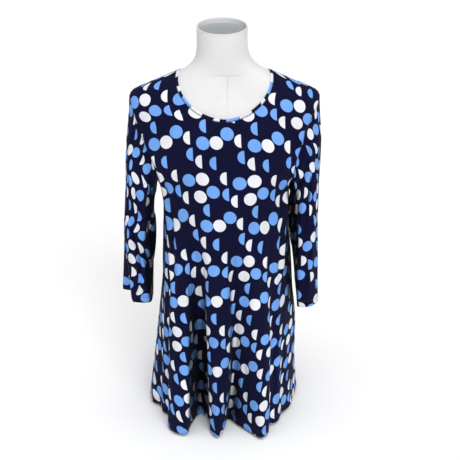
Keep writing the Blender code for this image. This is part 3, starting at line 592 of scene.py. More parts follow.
LEFT_SLEEVE_CREASES = [
    ("cap fold", 0.088, 0.716, 0.160, 0.600, -0.005, 0.0060, 0.0042),
    ("cap trough", 0.070, 0.700, 0.136, 0.604, -0.005, 0.0065, -0.0036),
    ("armpit drag", 0.126, 0.684, 0.206, 0.602, -0.005, 0.0055, 0.0044),
    ("armpit trough", 0.118, 0.664, 0.186, 0.592, -0.005, 0.0060, -0.0044),
    ("outer drag", 0.060, 0.660, 0.104, 0.580, -0.005, 0.0070, 0.0026),
    ("elbow trough", 0.128, 0.600, 0.080, 0.530, 0.005, 0.0065, -0.0034),
    ("inner bulge", 0.252, 0.580, 0.184, 0.446, 0.000, 0.0170, 0.0062),
    ("inner hollow", 0.176, 0.436, 0.150, 0.356, 0.000, 0.0150, -0.0036),
    ("inner trough", 0.166, 0.560, 0.140, 0.400, 0.004, 0.0100, -0.0060),
    ("front trough", 0.119, 0.645, 0.115, 0.500, 0.002, 0.0050, -0.0060),
    ("front fold", 0.134, 0.560, 0.108, 0.420, 0.004, 0.0055, 0.0036),
    ("elbow fold", 0.060, 0.530, 0.112, 0.480, -0.005, 0.0065, 0.0030),
    ("front ripple", 0.076, 0.470, 0.070, 0.330, 0.002, 0.0060, 0.0030),
    ("front trough", 0.090, 0.460, 0.084, 0.320, -0.002, 0.0060, -0.0030),
    ("outer fold", 0.036, 0.500, 0.034, 0.340, 0.003, 0.0070, 0.0024),
    ("back drag", 0.240, 0.650, 0.275, 0.540, 0.006, 0.0075, 0.0040),
    ("back trough", 0.258, 0.640, 0.294, 0.556, 0.006, 0.0070, -0.0034),
    ("back ripple", 0.262, 0.520, 0.254, 0.350, 0.002, 0.0070, 0.0030),
    ("back elbow", 0.246, 0.510, 0.286, 0.460, 0.003, 0.0080, -0.0032),
    ("outer slack", 0.018, 0.750, 0.024, 0.620, 0.004, 0.0090, 0.0020),
]

FRONT, BACK = -1, 1  # the side of the garment, as the sign of y
GOLDEN_ANGLE = math.pi * (3 - math.sqrt(5))

PANELS = {
    # name, creases, cut, area, print origin
    FRONT: ("tunic_front", FRONT_CREASES, FRONT_CUT, FRONT_AREA, FRONT_PRINT_ORIGIN),
    BACK: ("tunic_back", BACK_CREASES, BACK_CUT, BACK_AREA, BACK_PRINT_ORIGIN),
}
SLEEVES = {
    # by the side of the garment, as the sign of x:
    # name, outlines, lean, cuff height, creases, print origin, pulls of the print
    -1: (
        "sleeve_right", RIGHT_SLEEVE, RIGHT_SLEEVE_LEAN, RIGHT_CUFF_HEIGHT,
        RIGHT_SLEEVE_CREASES, RIGHT_SLEEVE_PRINT_ORIGIN, RIGHT_SLEEVE_PULLS,
    ),
    1: (
        "sleeve_left", LEFT_SLEEVE, LEFT_SLEEVE_LEAN, LEFT_CUFF_HEIGHT,
        LEFT_SLEEVE_CREASES, LEFT_SLEEVE_PRINT_ORIGIN, LEFT_SLEEVE_PULLS,
    ),
}

# Sampling
ARMPIT_ROW = 110  # of a panel's rows, counted up from the hem
TIP_ROW = 174  # the row at the shoulder tip
ROWS_AT_SHOULDER = 10
FRONT_STEPS_PER_FOLD = 9
BACK_STEPS_PER_FOLD = 16
SLEEVE_ROWS = 130
CLOSED_GAP = 0.008  # a grid whose last row ends this near its start is a tube
CLEARANCE = 0.0006  # between a sleeve and the panel that it hangs against
CLEAR_REACH = 0.02
SECTION_SAMPLES = 121
CURVE_SAMPLES = 241
SHARE_SAMPLES = 161
SKIRT_SAMPLES = 241
YOKE_SAMPLES = 361
YOKE_REACH = np.linspace(0, 0.3, 61)  # distances from the middle line, to past the seams
LOOP_OVERLAP = 3  # knots that a closed curve is carried on by at each end
CLOTH_TOP = CLOTH_SECTIONS[-1][0]
SHARES = np.linspace(0, 1, SHARE_SAMPLES)
HEIGHTS = np.concatenate(
    [
        np.linspace(HEM_HEIGHT, ARMPIT_HEIGHT, SKIRT_SAMPLES),
        np.linspace(ARMPIT_HEIGHT, CLOTH_TOP, YOKE_SAMPLES)[1:],
    ]
)


def unit(vectors):
    """The vectors at length one."""
    return vectors / np.linalg.norm(vectors, axis=-1, keepdims=True)


def ease(t):
    """0 below t = 0, 1 above t = 1, smooth between."""
    t = np.clip(t, 0.0, 1.0)
    return t * t * (3 - 2 * t)


def between(value, span):
    """0 before the span, 1 beyond it, smooth between."""
    return ease((value - span[0]) / (span[1] - span[0]))


def signed_power(value, power):
    """The value's size to a power, with its sign kept."""
    return np.sign(value) * abs(value) ** power


def step_below(knots, at):
    """The knot before each place, and how much of the step after it the place is past it."""
    i = np.clip(np.searchsorted(knots, at) - 1, 0, len(knots) - 2)
    return i, (at - knots[i]) / (knots[i + 1] - knots[i])


def smooth_curve(knots, values, at):
    """A smooth curve through values at the knots, read at the given places."""
    knots = np.asarray(knots, float)
    values = np.asarray(values, float)
    slopes = np.gradient(values, knots, axis=0)
    i, t = step_below(knots, np.clip(at, knots[0], knots[-1]))
    step = knots[i + 1] - knots[i]
    if values.ndim > 1:
        t = t[..., None]
        step = step[..., None]
    return (
        (1 + 2 * t) * (1 - t) ** 2 * values[i]
        + t * (1 - t) ** 2 * step * slopes[i]
        + t**2 * (3 - 2 * t) * values[i + 1]
        - t**2 * (1 - t) * step * slopes[i + 1]
    )


def loop_curve(knots, points, period, at):
    """A smooth closed curve through the points, one at each knot of the period."""
    knots = np.asarray(knots, float)
    points = np.asarray(points, float)
    before, after = knots[-LOOP_OVERLAP:] - period, knots[:LOOP_OVERLAP] + period
    all_knots = np.concatenate([before, knots, after])
    all_points = np.concatenate([points[-LOOP_OVERLAP:], points, points[:LOOP_OVERLAP]])
    inside = (np.asarray(at, float) - knots[0]) % period + knots[0]
    return smooth_curve(all_knots, all_points, inside)


def read_table(table, i, u, j, v):
    """A table's value between four entries: u of the way past row i, v past column j."""
    low = table[i, j] * (1 - v) + table[i, j + 1] * v
    high = table[i + 1, j] * (1 - v) + table[i + 1, j + 1] * v
    return low * (1 - u) + high * u


def read_line(at, run, values):
    """The values along a line, one column each, read at distances of its run."""
    return np.stack([np.interp(at, run, column) for column in values.T], -1)


def run_length(points):
    """Distance along a row of points, from its first point."""
    steps = np.linalg.norm(np.diff(points, axis=0), axis=-1)
    return np.concatenate([np.zeros((1, *steps.shape[1:])), np.cumsum(steps, axis=0)])


def closed_up(values, axis=0):
    """The values with the first of them again at the end, as once round a loop."""
    return np.concatenate([values, np.take(values, [0], axis=axis)], axis=axis)


def section_tables():
    """The smooth cloth's (x, y) at each of HEIGHTS and SHARES, and its half sections' lengths."""
    rows = np.array(CLOTH_SECTIONS)
    values = smooth_curve(rows[:, 0], rows[:, 1:], HEIGHTS)
    angle = np.linspace(0, np.pi / 2, SECTION_SAMPLES)
    table, length = {}, {}
    for facing in (FRONT, BACK):
        for side in (-1, 1):
            table[facing, side] = np.zeros((len(HEIGHTS), len(SHARES), 2))
            length[facing, side] = np.zeros(len(HEIGHTS))
            for k, (right, left, front, back, squareness) in enumerate(values):
                width = left if side > 0 else right
                depth = front if facing == FRONT else back
                x = side * width * np.sin(angle) ** (2 / squareness)
                y = facing * depth * np.cos(angle) ** (2 / squareness)
                outline = np.stack([x, y], 1)
                run = run_length(outline)
                length[facing, side][k] = run[-1]
                table[facing, side][k] = read_line(SHARES * run[-1], run, outline)
    return table, length


SECTION, HALF_LENGTH = section_tables()


def on_cloth(facing, side, share, height):
    """The smooth cloth's points at a share of the way from the middle line to the side."""
    side, share, height = np.broadcast_arrays(side, share, height)
    i, u = step_below(HEIGHTS, height)
    place = np.clip(share, 0, 1) * (len(SHARES) - 1)
    j = np.clip(place.astype(int), 0, len(SHARES) - 2)
    where = (i, u[..., None], j, (place - j)[..., None])
    left = read_table(SECTION[facing, 1], *where)
    right = read_table(SECTION[facing, -1], *where)
    return np.concatenate([np.where((side > 0)[..., None], left, right), height[..., None]], -1)


def half_length(facing, side, height):
    """The length of a half section."""
    right = np.interp(height, HEIGHTS, HALF_LENGTH[facing, -1])
    left = np.interp(height, HEIGHTS, HALF_LENGTH[facing, 1])
    return np.where(side > 0, left, right)


def share_at(facing, x, height):
    """The share of a section at which it lies x from the middle."""
    return float(np.interp(x, on_cloth(facing, 1, SHARES, height)[:, 0], SHARES))


def side_and_share(facing, places):
    """Which side of its middle line each place lies on, and its share of the way there."""
    across = places if facing == FRONT else 2 - places
    return np.where(across > 0, 1, -1), abs(across)


def fold_knots():
    """Where the fold tables' rows lie round the garment, and their points.

    The round runs from -1 at the right side seam over 0 at the centre front to 1 at
    the left side seam, and on over 2 at the centre back to 3, the right seam again.
    """
    rows = FRONT_FOLDS + BACK_FOLDS + FRONT_FOLDS[:1]
    hem = run_length(np.array([row[1:3] for row in rows]))
    middle_back = len(FRONT_FOLDS) + BACK_CENTRE
    marks = [0, FRONT_CENTRE, len(FRONT_FOLDS) - 1, middle_back, len(rows) - 1]
    places = np.interp(hem, hem[marks], [-1, 0, 1, 2, 3])
    return places[:-1], np.array([row[1:5] for row in rows[:-1]])


def column_places(facing):
    """Where a panel's columns lie round the garment."""
    knots = np.append(fold_knots()[0], 3.0)
    if facing == FRONT:
        marks, count = knots[: len(FRONT_FOLDS)], FRONT_STEPS_PER_FOLD
    else:
        marks, count = knots[len(FRONT_FOLDS) - 1 :], BACK_STEPS_PER_FOLD
    steps = np.arange((len(marks) - 1) * count + 1) / count
    return np.interp(steps, np.arange(len(marks)), marks)


def skirt_grid(facing, places, heights):
    """The cloth below the armpits with its folds: a row of points at each height."""
    side, share = side_and_share(facing, places)
    knots, table = fold_knots()
    folded = loop_curve(knots, table, PLACES_ROUND, places)
    hem = folded[:, 0:2] - on_cloth(facing, side, share, HEM_HEIGHT)[:, :2]
    middle = folded[:, 2:4] - on_cloth(facing, side, share, FOLD_MID_HEIGHT)[:, :2]
    low, mid, top = HEM_HEIGHT, FOLD_MID_HEIGHT, FOLD_TOP_HEIGHT
    rows = []
    for z in heights:
        row = on_cloth(facing, side, share, z)
        hem_weight = (z - mid) * (z - top) / ((low - mid) * (low - top))
        mid_weight = (z - low) * (z - top) / ((mid - low) * (mid - top))
        row[:, :2] += (hem * hem_weight + middle * mid_weight) * ease((top - z) / FOLD_FADE)
        rows.append(row)
    return np.array(rows)


def even_domain(domain, facing, count):
    """A curve of (share, height) resampled to equal steps in space."""
    length = run_length(on_cloth(facing, 1, domain[:, 0], domain[:, 1]))
    steps = np.linspace(0, length[-1], count + 1)
    return read_line(steps, length, domain)


def panel_edge(facing):
    """(share, height) up the armhole from the armpit to the shoulder tip, then to the neck."""
    table = np.array(ARMHOLE)
    rise = np.linspace(0, 1, CURVE_SAMPLES) ** 2  # closer together near the armpit
    heights = ARMPIT_HEIGHT + (SHOULDER_TIP_HEIGHT - ARMPIT_HEIGHT) * rise
    seam = smooth_curve(table[:, 0], table[:, 1 if facing == FRONT else 2], heights)
    armhole = np.array([(share_at(facing, x, z), z) for x, z in zip(seam, heights)])
    armhole[0, 0] = armhole[-1, 0] = 1.0
    top = neckline(facing, seam=True)[-1, 1]
    shoulder = np.linspace(SHOULDER_TIP_HEIGHT, top, ROWS_AT_SHOULDER + 1)[1:]
    shoulder = np.stack([np.ones(ROWS_AT_SHOULDER), shoulder], 1)
    return np.concatenate([even_domain(armhole, facing, TIP_ROW - ARMPIT_ROW), shoulder])


def ridge_height(x):
    """The height of the shoulder line at a distance from the middle."""
    table = np.array([row for row in CLOTH_SECTIONS if row[0] >= SHOULDER_TIP_HEIGHT])
    return float(np.interp(x, table[::-1, 1], table[::-1, 0]))


def neckline(facing, seam):
    """(share, height) of half the neckline, from its middle to the shoulder line.

    With seam it is the line where the binding joins the panel, else the binding's edge.
    """
    more = BINDING_WIDTH if seam else 0.0
    width = NECKLINE_HALF_WIDTH + more
    side_height = ridge_height(width) if seam else NECK_SIDE_HEIGHT
    if facing == FRONT:
        drop = NECKLINE_DROP + more
        power = 2 / NECKLINE_SQUARENESS
        over = ((side_height - NECKLINE_WIDEST_HEIGHT) / drop) ** (1 / power)
        angle = np.linspace(0, np.pi / 2 + np.arcsin(over), CURVE_SAMPLES)
        x = width * np.sin(angle) ** power
        z = NECKLINE_WIDEST_HEIGHT - drop * signed_power(np.cos(angle), power)
    else:
        drop = BACK_SEAM_DROP if seam else BACK_NECK_DROP
        angle = np.linspace(0, np.pi / 2, CURVE_SAMPLES)
        x = width * np.sin(angle)
        z = side_height - drop * np.cos(angle)
    line = np.array([(share_at(facing, a, b), b) for a, b in zip(x, z)])
    line[-1, 0] = 1.0
    return line


def neckline_points(facing, seam, places):
    """Side, share and height where each of the places meets the neckline."""
    line = neckline(facing, seam)
    run = run_length(on_cloth(facing, 1, line[:, 0], line[:, 1]))
    side, share = side_and_share(facing, places)
    return side, *(np.interp(share * run[-1], run, line[:, k]) for k in (0, 1))


def yoke_domain(facing, places):
    """Side, share and height of a panel's points above the armpits, in rows going up.

    The rows bend from level at the armpits to the neckline at the top. Each is a blend
    of the patch's four borders in share and height.
    """
    edge = panel_edge(facing)
    _, top_share, top_height = neckline_points(facing, True, places)
    middle = neckline_points(facing, True, np.array([0.0 if facing == FRONT else 2.0]))[2][0]
    side, p = side_and_share(facing, places)
    t = (np.arange(1, len(edge)) / (len(edge) - 1))[:, None]
    edge_share, edge_height = edge[1:, 0:1], edge[1:, 1:2]
    share = (1 - t) * p + t * top_share + p * edge_share - p * (1 - t) - p * t
    rise = (1 - p) * t * middle + p * t * edge[-1, 1]
    height = (1 - t) * ARMPIT_HEIGHT + t * top_height
    height = height + (1 - p) * (ARMPIT_HEIGHT + t * (middle - ARMPIT_HEIGHT))
    height = height + p * edge_height - (1 - t) * ARMPIT_HEIGHT - rise
    return np.broadcast_to(side, share.shape), share, height


def yoke_drop(facing, across, height):
    """Distance up the cloth from armpit height, along lines of equal distance from the middle."""
    levels = HEIGHTS[HEIGHTS >= ARMPIT_HEIGHT]
    paths = [on_cloth(facing, 1, YOKE_REACH / half_length(facing, 1, z), z) for z in levels]
    rise = run_length(np.array(paths))
    return read_table(rise, *step_below(levels, height), *step_below(YOKE_REACH, abs(across)))


def skirt_cloth(facing, skirt):
    """The skirt's flat coordinates: along each row from the middle line, and down to it.

    The grain line down the middle hangs straight, wherever the folds lie.
    """
    arc = run_length(skirt.transpose(1, 0, 2)).T
    order = facing * skirt[..., 0]
    middle = [np.interp(0.0, np.sort(-x), run[np.argsort(-x)]) for x, run in zip(order, arc)]
    arc = arc - np.array(middle)[:, None]
    fall = np.linalg.norm(np.diff(skirt, axis=0), axis=-1)
    fall = np.sqrt(np.maximum(fall**2 - np.diff(arc, axis=0) ** 2, (LEAST_FALL * fall) ** 2))
    down = np.concatenate([np.cumsum(fall[::-1], axis=0)[::-1], np.zeros((1, skirt.shape[1]))])
    return np.stack([arc, down], -1)


def panel(facing):
    """A panel's points and flat cloth coordinates: rows from hem to neckline.

    The cloth coordinates are metres to the right and down, seen from outside, from the
    point of the middle line at armpit height.
    """
    places = column_places(facing)
    heights = np.linspace(HEM_HEIGHT, ARMPIT_HEIGHT, ARMPIT_ROW + 1)
    skirt = skirt_grid(facing, places, heights)
    side, share, height = yoke_domain(facing, places)
    yoke = on_cloth(facing, side, share, height)
    sign = side if facing == FRONT else -side
    across = sign * share * half_length(facing, side, height)
    up = yoke_drop(facing, across, height)
    cloth = np.concatenate([skirt_cloth(facing, skirt), np.stack([across, -up], -1)])
    return np.concatenate([skirt, yoke]), worn_print(facing, cloth)


def worn_print(facing, cloth):
    """A panel's flat coordinates as its print has slipped, shifted and leant on the form."""
    aside = between(abs(cloth[..., 0]), DROOP_ACROSS)
    growth = UPPER_DROOP + (1 - UPPER_DROOP) * between(cloth[..., 1], DROOP_DOWN)
    cloth[..., 1] -= SIDE_DROOP * aside * growth * (1 - between(cloth[..., 1], DROOP_TAKEN_UP))
    if facing == FRONT:
        cloth = shifted_print(cloth)
    below = np.maximum(0.0, cloth[..., 1] - TAKE_UP_START)
    lean = GRAIN_LEAN + FLUTE_LEAN * between(-cloth[..., 0], FLUTE_LEAN_ACROSS)
    cloth[..., 0] *= 1 + TAKE_UP[0] * ease(below / TAKE_UP_FADE)
    cloth[..., 0] += lean * below + WAIST_SHIFT * ease(below / WAIST_SHIFT_FADE)
    cloth[..., 1] += TAKE_UP[1] * below
    return cloth


def shifted_print(cloth):
    """The front's flat coordinates with the pulls at its shoulders and its soft shifts."""
    wide, high = SHOULDER_FADE
    moved = cloth.copy()
    for side, across, up, *shift in SHOULDER_PULLS:
        pull = ease((side * cloth[..., 0] - across) / wide) * ease((-cloth[..., 1] - up) / high)
        moved += pull[..., None] * shift
    for *centre, reach_across, reach_down, right, down in FRONT_PRINT_SHIFTS:
        away = (cloth - centre) / (reach_across, reach_down)
        moved += np.exp(-(away**2).sum(axis=-1))[..., None] * (right, down)
    return moved


def grid_normals(points, closed=False, flip=False):
    """Unit normals of a grid of points."""
    if closed:
        along = np.roll(points, -1, axis=1) - np.roll(points, 1, axis=1)
    else:
        along = np.gradient(points, axis=1)
    normals = unit(np.cross(along, np.gradient(points, axis=0)))
    return -normals if flip else normals


def creased(points, normals, flat, creases, give):
    """The points moved along their normals by the creases drawn in flat coordinates.

    give is how far each point may move, from 0 at the seams to 1.
    """
    rise = np.zeros(points.shape[:-1])
    for _, x0, z0, x1, z1, bow, half_width, height in creases:
        start, run = np.array([x0, z0]), np.array([x1 - x0, z1 - z0])
        length = np.hypot(*run)
        along = ((flat - start) @ run) / length**2
        beside = (flat - start) @ np.array([-run[1], run[0]]) / length
        inside = np.clip(along, 0, 1)
        beside = beside - bow * np.sin(np.pi * inside)
        beyond = (along - inside) * length
        reach = np.clip(along * (1 - 2 * CREASE_CUT) + CREASE_CUT, 0, 1)
        taper = np.sin(np.pi * reach) ** CREASE_FULLNESS
        width = half_width * (CREASE_END_WIDTH + (1 - CREASE_END_WIDTH) * taper)
        rise += height * taper * np.exp(-((beside / width) ** 2) - (beyond / half_width) ** 2)
    return points + normals * (rise * give)[..., None]


def add_object(name, data):
    """An object of the scene made of this mesh, light or camera."""
    made = bpy.data.objects.new(name, data)
    bpy.context.scene.collection.objects.link(made)
    return made


def add_mesh(name, points, faces, materials):
    """An object made of the points and faces, riding on the part's only body."""
    mesh = bpy.data.meshes.new(name)
    mesh.from_pydata(points, [], faces)
    for material in materials:
        mesh.materials.append(material)
    mesh.shade_smooth()
    made = add_object(name, mesh)
    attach(made, "root")
    return made


def add_print(made, flat):
    """Lays the corners of a mesh's faces out on the flat print."""
    layer = made.data.uv_layers.new(name=CLOTH_MAP)
    layer.data.foreach_set("uv", flat.astype(np.float32).ravel())


def add_fact(made, name, values):
    """Gives a mesh a number at each of its points, for its material to read."""
    attribute = made.data.attributes.new(name, "FLOAT", "POINT")
    attribute.data.foreach_set("value", values.astype(np.float32).ravel())


def grid_places(rows, columns):
    """The (row, column) places of the four corners of each quad of a grid."""
    i, j = np.meshgrid(np.arange(rows - 1), np.arange(columns - 1))
    return np.stack([i.ravel(), j.ravel()], -1)[:, None] + [(0, 0), (0, 1), (1, 1), (1, 0)]


def point_numbers(places, rows, columns):
    """The numbers of a grid's points at the places, which may run on round a loop."""
    return places[..., 0] % rows * columns + places[..., 1] % columns


def grid_faces(rows, columns, closed, start=0):
    """Quads between a grid's points, as rows of point numbers."""
    return start + point_numbers(grid_places(rows, columns + closed), rows, columns)


def border_runs(rows, columns, closed):
    """Pairs of neighbouring places along a grid's open borders, in turning order."""
    across, up = np.arange(columns + closed), np.arange(rows)
    runs = [
        (np.zeros_like(across), across, -1),
        (np.full_like(across, rows - 1), across, 1),
    ]
    if not closed:
        runs.append((up, np.zeros_like(up), 1))
        runs.append((up, np.full_like(up, columns - 1), -1))
    for row_at, column_at, way in runs:
        line = np.stack([row_at, column_at], -1)
        yield np.stack([line[:-1], line[1:]], 1)[:, ::way]


def shell(name, outer, normals, cloth, facts, closed=False, flip=False):
    """A thin closed shell of cloth: its right side, its wrong side and its cut edges.

    cloth holds each point's place on the flat print, one column more than the points on
    a closed tube. facts are the named distances that the material reads at each point.
    """
    rows, columns = outer.shape[:2]
    sides = np.stack([outer, outer - CLOTH * normals]).reshape(-1, 3)
    inside = rows * columns
    places = [grid_places(rows, columns + closed)]
    places.append(places[0][:, ::-1])
    right_side = point_numbers(places[0], rows, columns)
    quads = [right_side, inside + right_side[:, ::-1]]
    for pairs in border_runs(rows, columns, closed):
        numbers = point_numbers(pairs, rows, columns)
        quads.append(np.concatenate([numbers, inside + numbers[:, ::-1]], 1))
        places.append(np.concatenate([pairs, pairs[:, ::-1]], 1))
    faces, places = np.concatenate(quads), np.concatenate(places)
    if flip:
        faces, places = faces[:, ::-1], places[:, ::-1]
    made = add_mesh(name, sides, faces.tolist(), [jersey(), jersey(wrong=True)])
    add_print(made, cloth[places[..., 0], places[..., 1]])
    wrong = np.zeros(len(faces), np.int32)
    wrong[len(right_side) : 2 * len(right_side)] = 1
    made.data.polygons.foreach_set("material_index", wrong)
    for fact, values in facts.items():
        add_fact(made, fact, np.stack([values, values]))
    made.data.update()
    return made


def surface_tree(surfaces):
    """A search tree of some surfaces, each a grid of points."""
    corners, faces = [], []
    for points in surfaces:
        rows, columns = points.shape[:2]
        closed = np.linalg.norm(points[-1, 0] - points[-1, -1]) < CLOSED_GAP
        faces += grid_faces(rows, columns, closed, start=sum(map(len, corners))).tolist()
        corners.append(points.reshape(-1, 3))
    return BVHTree.FromPolygons(np.concatenate(corners).tolist(), faces)


def openness(points, normals, tree):
    """The share of the air in front of each point that is free of cloth within reach."""
    beside = unit(np.cross(normals, [0.0, 0.0, 1.0]))
    above = np.cross(normals, beside)
    start = points + SHADE_LIFT * normals
    free = np.zeros(points.shape[:2])
    for k in range(SHADE_RAYS):
        lean = math.asin(math.sqrt((k + 0.5) / SHADE_RAYS))
        turn = k * GOLDEN_ANGLE
        ways = normals * math.cos(lean)
        ways = ways + (beside * math.cos(turn) + above * math.sin(turn)) * math.sin(lean)
        for row, (starts, row_ways) in enumerate(zip(start, ways)):
            for column, (place, way) in enumerate(zip(starts, row_ways)):
                if tree.ray_cast(place, way, SHADE_REACH)[0] is None:
                    free[row, column] += 1 / SHADE_RAYS
    return free


def add_openness(cloths):
    """Gives each cloth piece how open its surface lies, for its material's painted shade in deep
    folds.

    cloths holds each piece with its grid of points and normals.
    """
    tree = surface_tree([points for _, points, _ in cloths])
    for made, points, normals in cloths:
        rows = np.arange(0, points.shape[0], SHADE_STEP)
        columns = np.arange(0, points.shape[1], SHADE_STEP)
        coarse = openness(points[rows][:, columns], normals[rows][:, columns], tree)
        wide = read_line(np.arange(points.shape[1]), columns, coarse.T)
        full = read_line(np.arange(points.shape[0]), rows, wide.T)
        add_fact(made, "open", np.stack([full, full]))


def lattice(flat, origin, turned=False):
    """Flat cloth coordinates as steps of the print's repeat, each step in metres."""
    u, v = flat[..., 0] - origin[0], flat[..., 1] - origin[1]
    if turned:
        u, v = -u, -v
    (ax, ay), (bx, by) = REPEAT_ACROSS, REPEAT_DOWN
    cross = ax * by - ay * bx
    return np.stack([(u * by - v * bx) / cross * ax, (v * ax - u * ay) / cross * by], -1)


def edge_distance(points, lines):
    """Distance of each point of a grid from the nearest of some lines of points."""
    found = np.full(points.shape[:2], FAR)
    for line in lines:
        for k in range(points.shape[0]):
            gap = np.linalg.norm(points[k][:, None] - line[None, ::2], axis=-1).min(axis=1)
            found[k] = np.minimum(found[k], gap)
    return found


def sleeve_grid(table, lean, cuff_height, armhole):
    """A sleeve's points: rows from the armhole down, columns once round.

    armhole is the seam's loop, from the shoulder tip over the front to the armpit and
    back up behind.
    """
    columns = len(armhole)
    shape = np.array([row[1:5] for row in table])
    length = run_length(closed_up(shape[:, 2:4]))
    knots = length[:-1] / length[-1]
    rounds = loop_curve(knots, shape, 1.0, np.arange(columns) / columns)
    span = SLEEVE_MID_HEIGHT - cuff_height
    lean = np.array([lean, 0.0])

    def hanging(z):
        """The tube's (x, y) in each column, at that column's height."""
        tube = rounds[:, :2] + lean * (z - SLEEVE_MID_HEIGHT)[..., None]
        folded = rounds[:, 2:4] - (rounds[:, :2] - lean * span)
        below = np.maximum(0.0, SLEEVE_MID_HEIGHT - z) / span
        return tube + folded * (below**SLEEVE_FOLD_START)[..., None]

    start = armhole[:, 2]
    share = np.linspace(0, 1, SLEEVE_ROWS + 1)[:, None]
    z = start + (cuff_height - start) * share
    fade = np.interp(start, (ARMPIT_HEIGHT, SHOULDER_TIP_HEIGHT), SLEEVE_FADES)
    held = (1 - ease((start - z) / fade))[..., None]
    xy = hanging(z) + (armhole[:, :2] - hanging(start)) * held
    return np.concatenate([xy, z[..., None]], axis=-1)


def crease_freedom(points):
    """How freely each of a panel's points may move in creases, from 0 at its seams to 1.

    Creases run on over the armholes into the sleeves, but not over the other seams.
    """
    below, above = points[: ARMPIT_ROW + 1], points[TIP_ROW:]
    held = [below[:, 0], below[:, -1], above[:, 0], above[:, -1], points[-1]]
    return ease(edge_distance(points, held) / SEAM_HOLD)


def build_panel(facing, name, creases, cut, area, print_origin):
    """The front or the back with its hem; returns the cloth, its points and normals."""
    points, cloth = panel(facing)
    seam = edge_distance(points, [points[:, 0], points[:, -1], points[-1]])
    hem = np.broadcast_to(points[:, :1, 2] - HEM_HEIGHT, seam.shape).copy()
    hem[ARMPIT_ROW:] = FAR
    freedom = crease_freedom(points)
    points = creased(points, grid_normals(points), points[..., [0, 2]], creases, freedom)
    normals = grid_normals(points)
    facts = {"seam": seam, "hem": hem}
    made = shell(name + "_cloth", points, normals, lattice(cloth, print_origin), facts)
    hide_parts(name)
    skirt = slice(ARMPIT_ROW + 1)
    stitches = hem_stitches(points[skirt], normals[skirt], HEM_HEIGHT)
    thread = add_stitches(name + "_hem_stitches", stitches)
    return made, points, normals


def hem_stitches(points, normals, hem_height):
    """Two rows of points and normals along a hem, where its coverstitch lies."""
    found = []
    for rise in COVERSTITCH_ROWS:
        line, up = [], []
        for j in range(points.shape[1]):
            order = np.argsort(points[:, j, 2])
            height = points[order, j, 2]
            line.append(read_line(hem_height + rise, height, points[order, j]))
            up.append(read_line(hem_height + rise, height, normals[order, j]))
        found.append((np.array(line), unit(np.array(up))))
    return found


def stitch_rings(line, up):
    """The rings of points of each stitch along a line: one row for each stitch."""
    angle = 2 * np.pi * np.arange(STITCH_SIDES)[:, None] / STITCH_SIDES
    run = run_length(line)
    middle = (np.arange(int(run[-1] / STITCH_PITCH)) + 0.5) * STITCH_PITCH
    at = read_line(middle, run, line)
    out = unit(read_line(middle, run, up))
    ahead = read_line(middle + STITCH_AIM * STITCH_PITCH, run, line)
    behind = read_line(middle - STITCH_AIM * STITCH_PITCH, run, line)
    along = unit(ahead - behind)
    beside = unit(np.cross(along, out))
    around = np.cos(angle) * beside[:, None] + np.sin(angle) * out[:, None]
    rings = []
    for place, thickness, rise in STITCH_RINGS:
        centre = at + along * place * STITCH_SHARE * STITCH_PITCH + out * rise * THREAD_RADIUS
        rings.append(centre[:, None] + THREAD_RADIUS * thickness * around)
    return np.stack(rings, 1)


def add_stitches(name, rows):
    """Rows of short raised stitches along lines on the cloth, joined in one mesh."""
    stitches = np.concatenate([stitch_rings(line, up) for line, up in rows])
    rings, sides = stitches.shape[1:3]
    ring = np.arange(sides)
    stitch = [*grid_faces(rings, sides, closed=True), ring[::-1], ring + (rings - 1) * sides]
    starts = np.arange(len(stitches)) * rings * sides
    faces = [(start + face).tolist() for start in starts for face in stitch]
    return add_mesh(name, stitches.reshape(-1, 3), faces, [thread_material()])


def kept_clear(points, panels):
    """The points moved off the panels, where they hang below the armpits."""
    tree = surface_tree([panel_points for _, panel_points, _ in panels.values()])
    points = points.copy()
    for row, column in np.argwhere(points[..., 2] < ARMPIT_HEIGHT - SEAM_HOLD):
        nearest, out, _, _ = tree.find_nearest(points[row, column], CLEAR_REACH)
        if nearest is not None:
            short = CLEARANCE - (points[row, column] - nearest) @ np.array(out)
            points[row, column] += max(0.0, short) * np.array(out)
    return points


def sleeve_cloth(side, around, down, pulls):
    """A sleeve's flat coordinates, with its grain turned and its print pulled round."""
    turn = math.radians(side * SLEEVE_GRAIN_TURN)
    turned_around = -side * around * math.cos(turn) - down * math.sin(turn)
    turned_down = -side * around * math.sin(turn) + down * math.cos(turn)
    cloth = np.stack([turned_around, turned_down * (1 + SLEEVE_TAKE_UP)], -1)
    for shift, begins, fades in pulls:
        pulled = between(cloth[..., 1], begins) * (1 - between(cloth[..., 1], fades))
        cloth[..., 0] += shift * pulled
    return cloth


def from_underarm(arc, under):
    """The order of a sleeve's columns from its underarm seam on, and distances round.

    The underarm seam faces the body: the print starts and ends there.
    """
    order = np.roll(np.arange(arc.shape[1] - 1), -under)
    total = arc[:, -1:]
    around = arc[:, order] - np.where(order >= under, total, 0.0)
    return order, np.concatenate([around, around[:, :1] + total], axis=1)


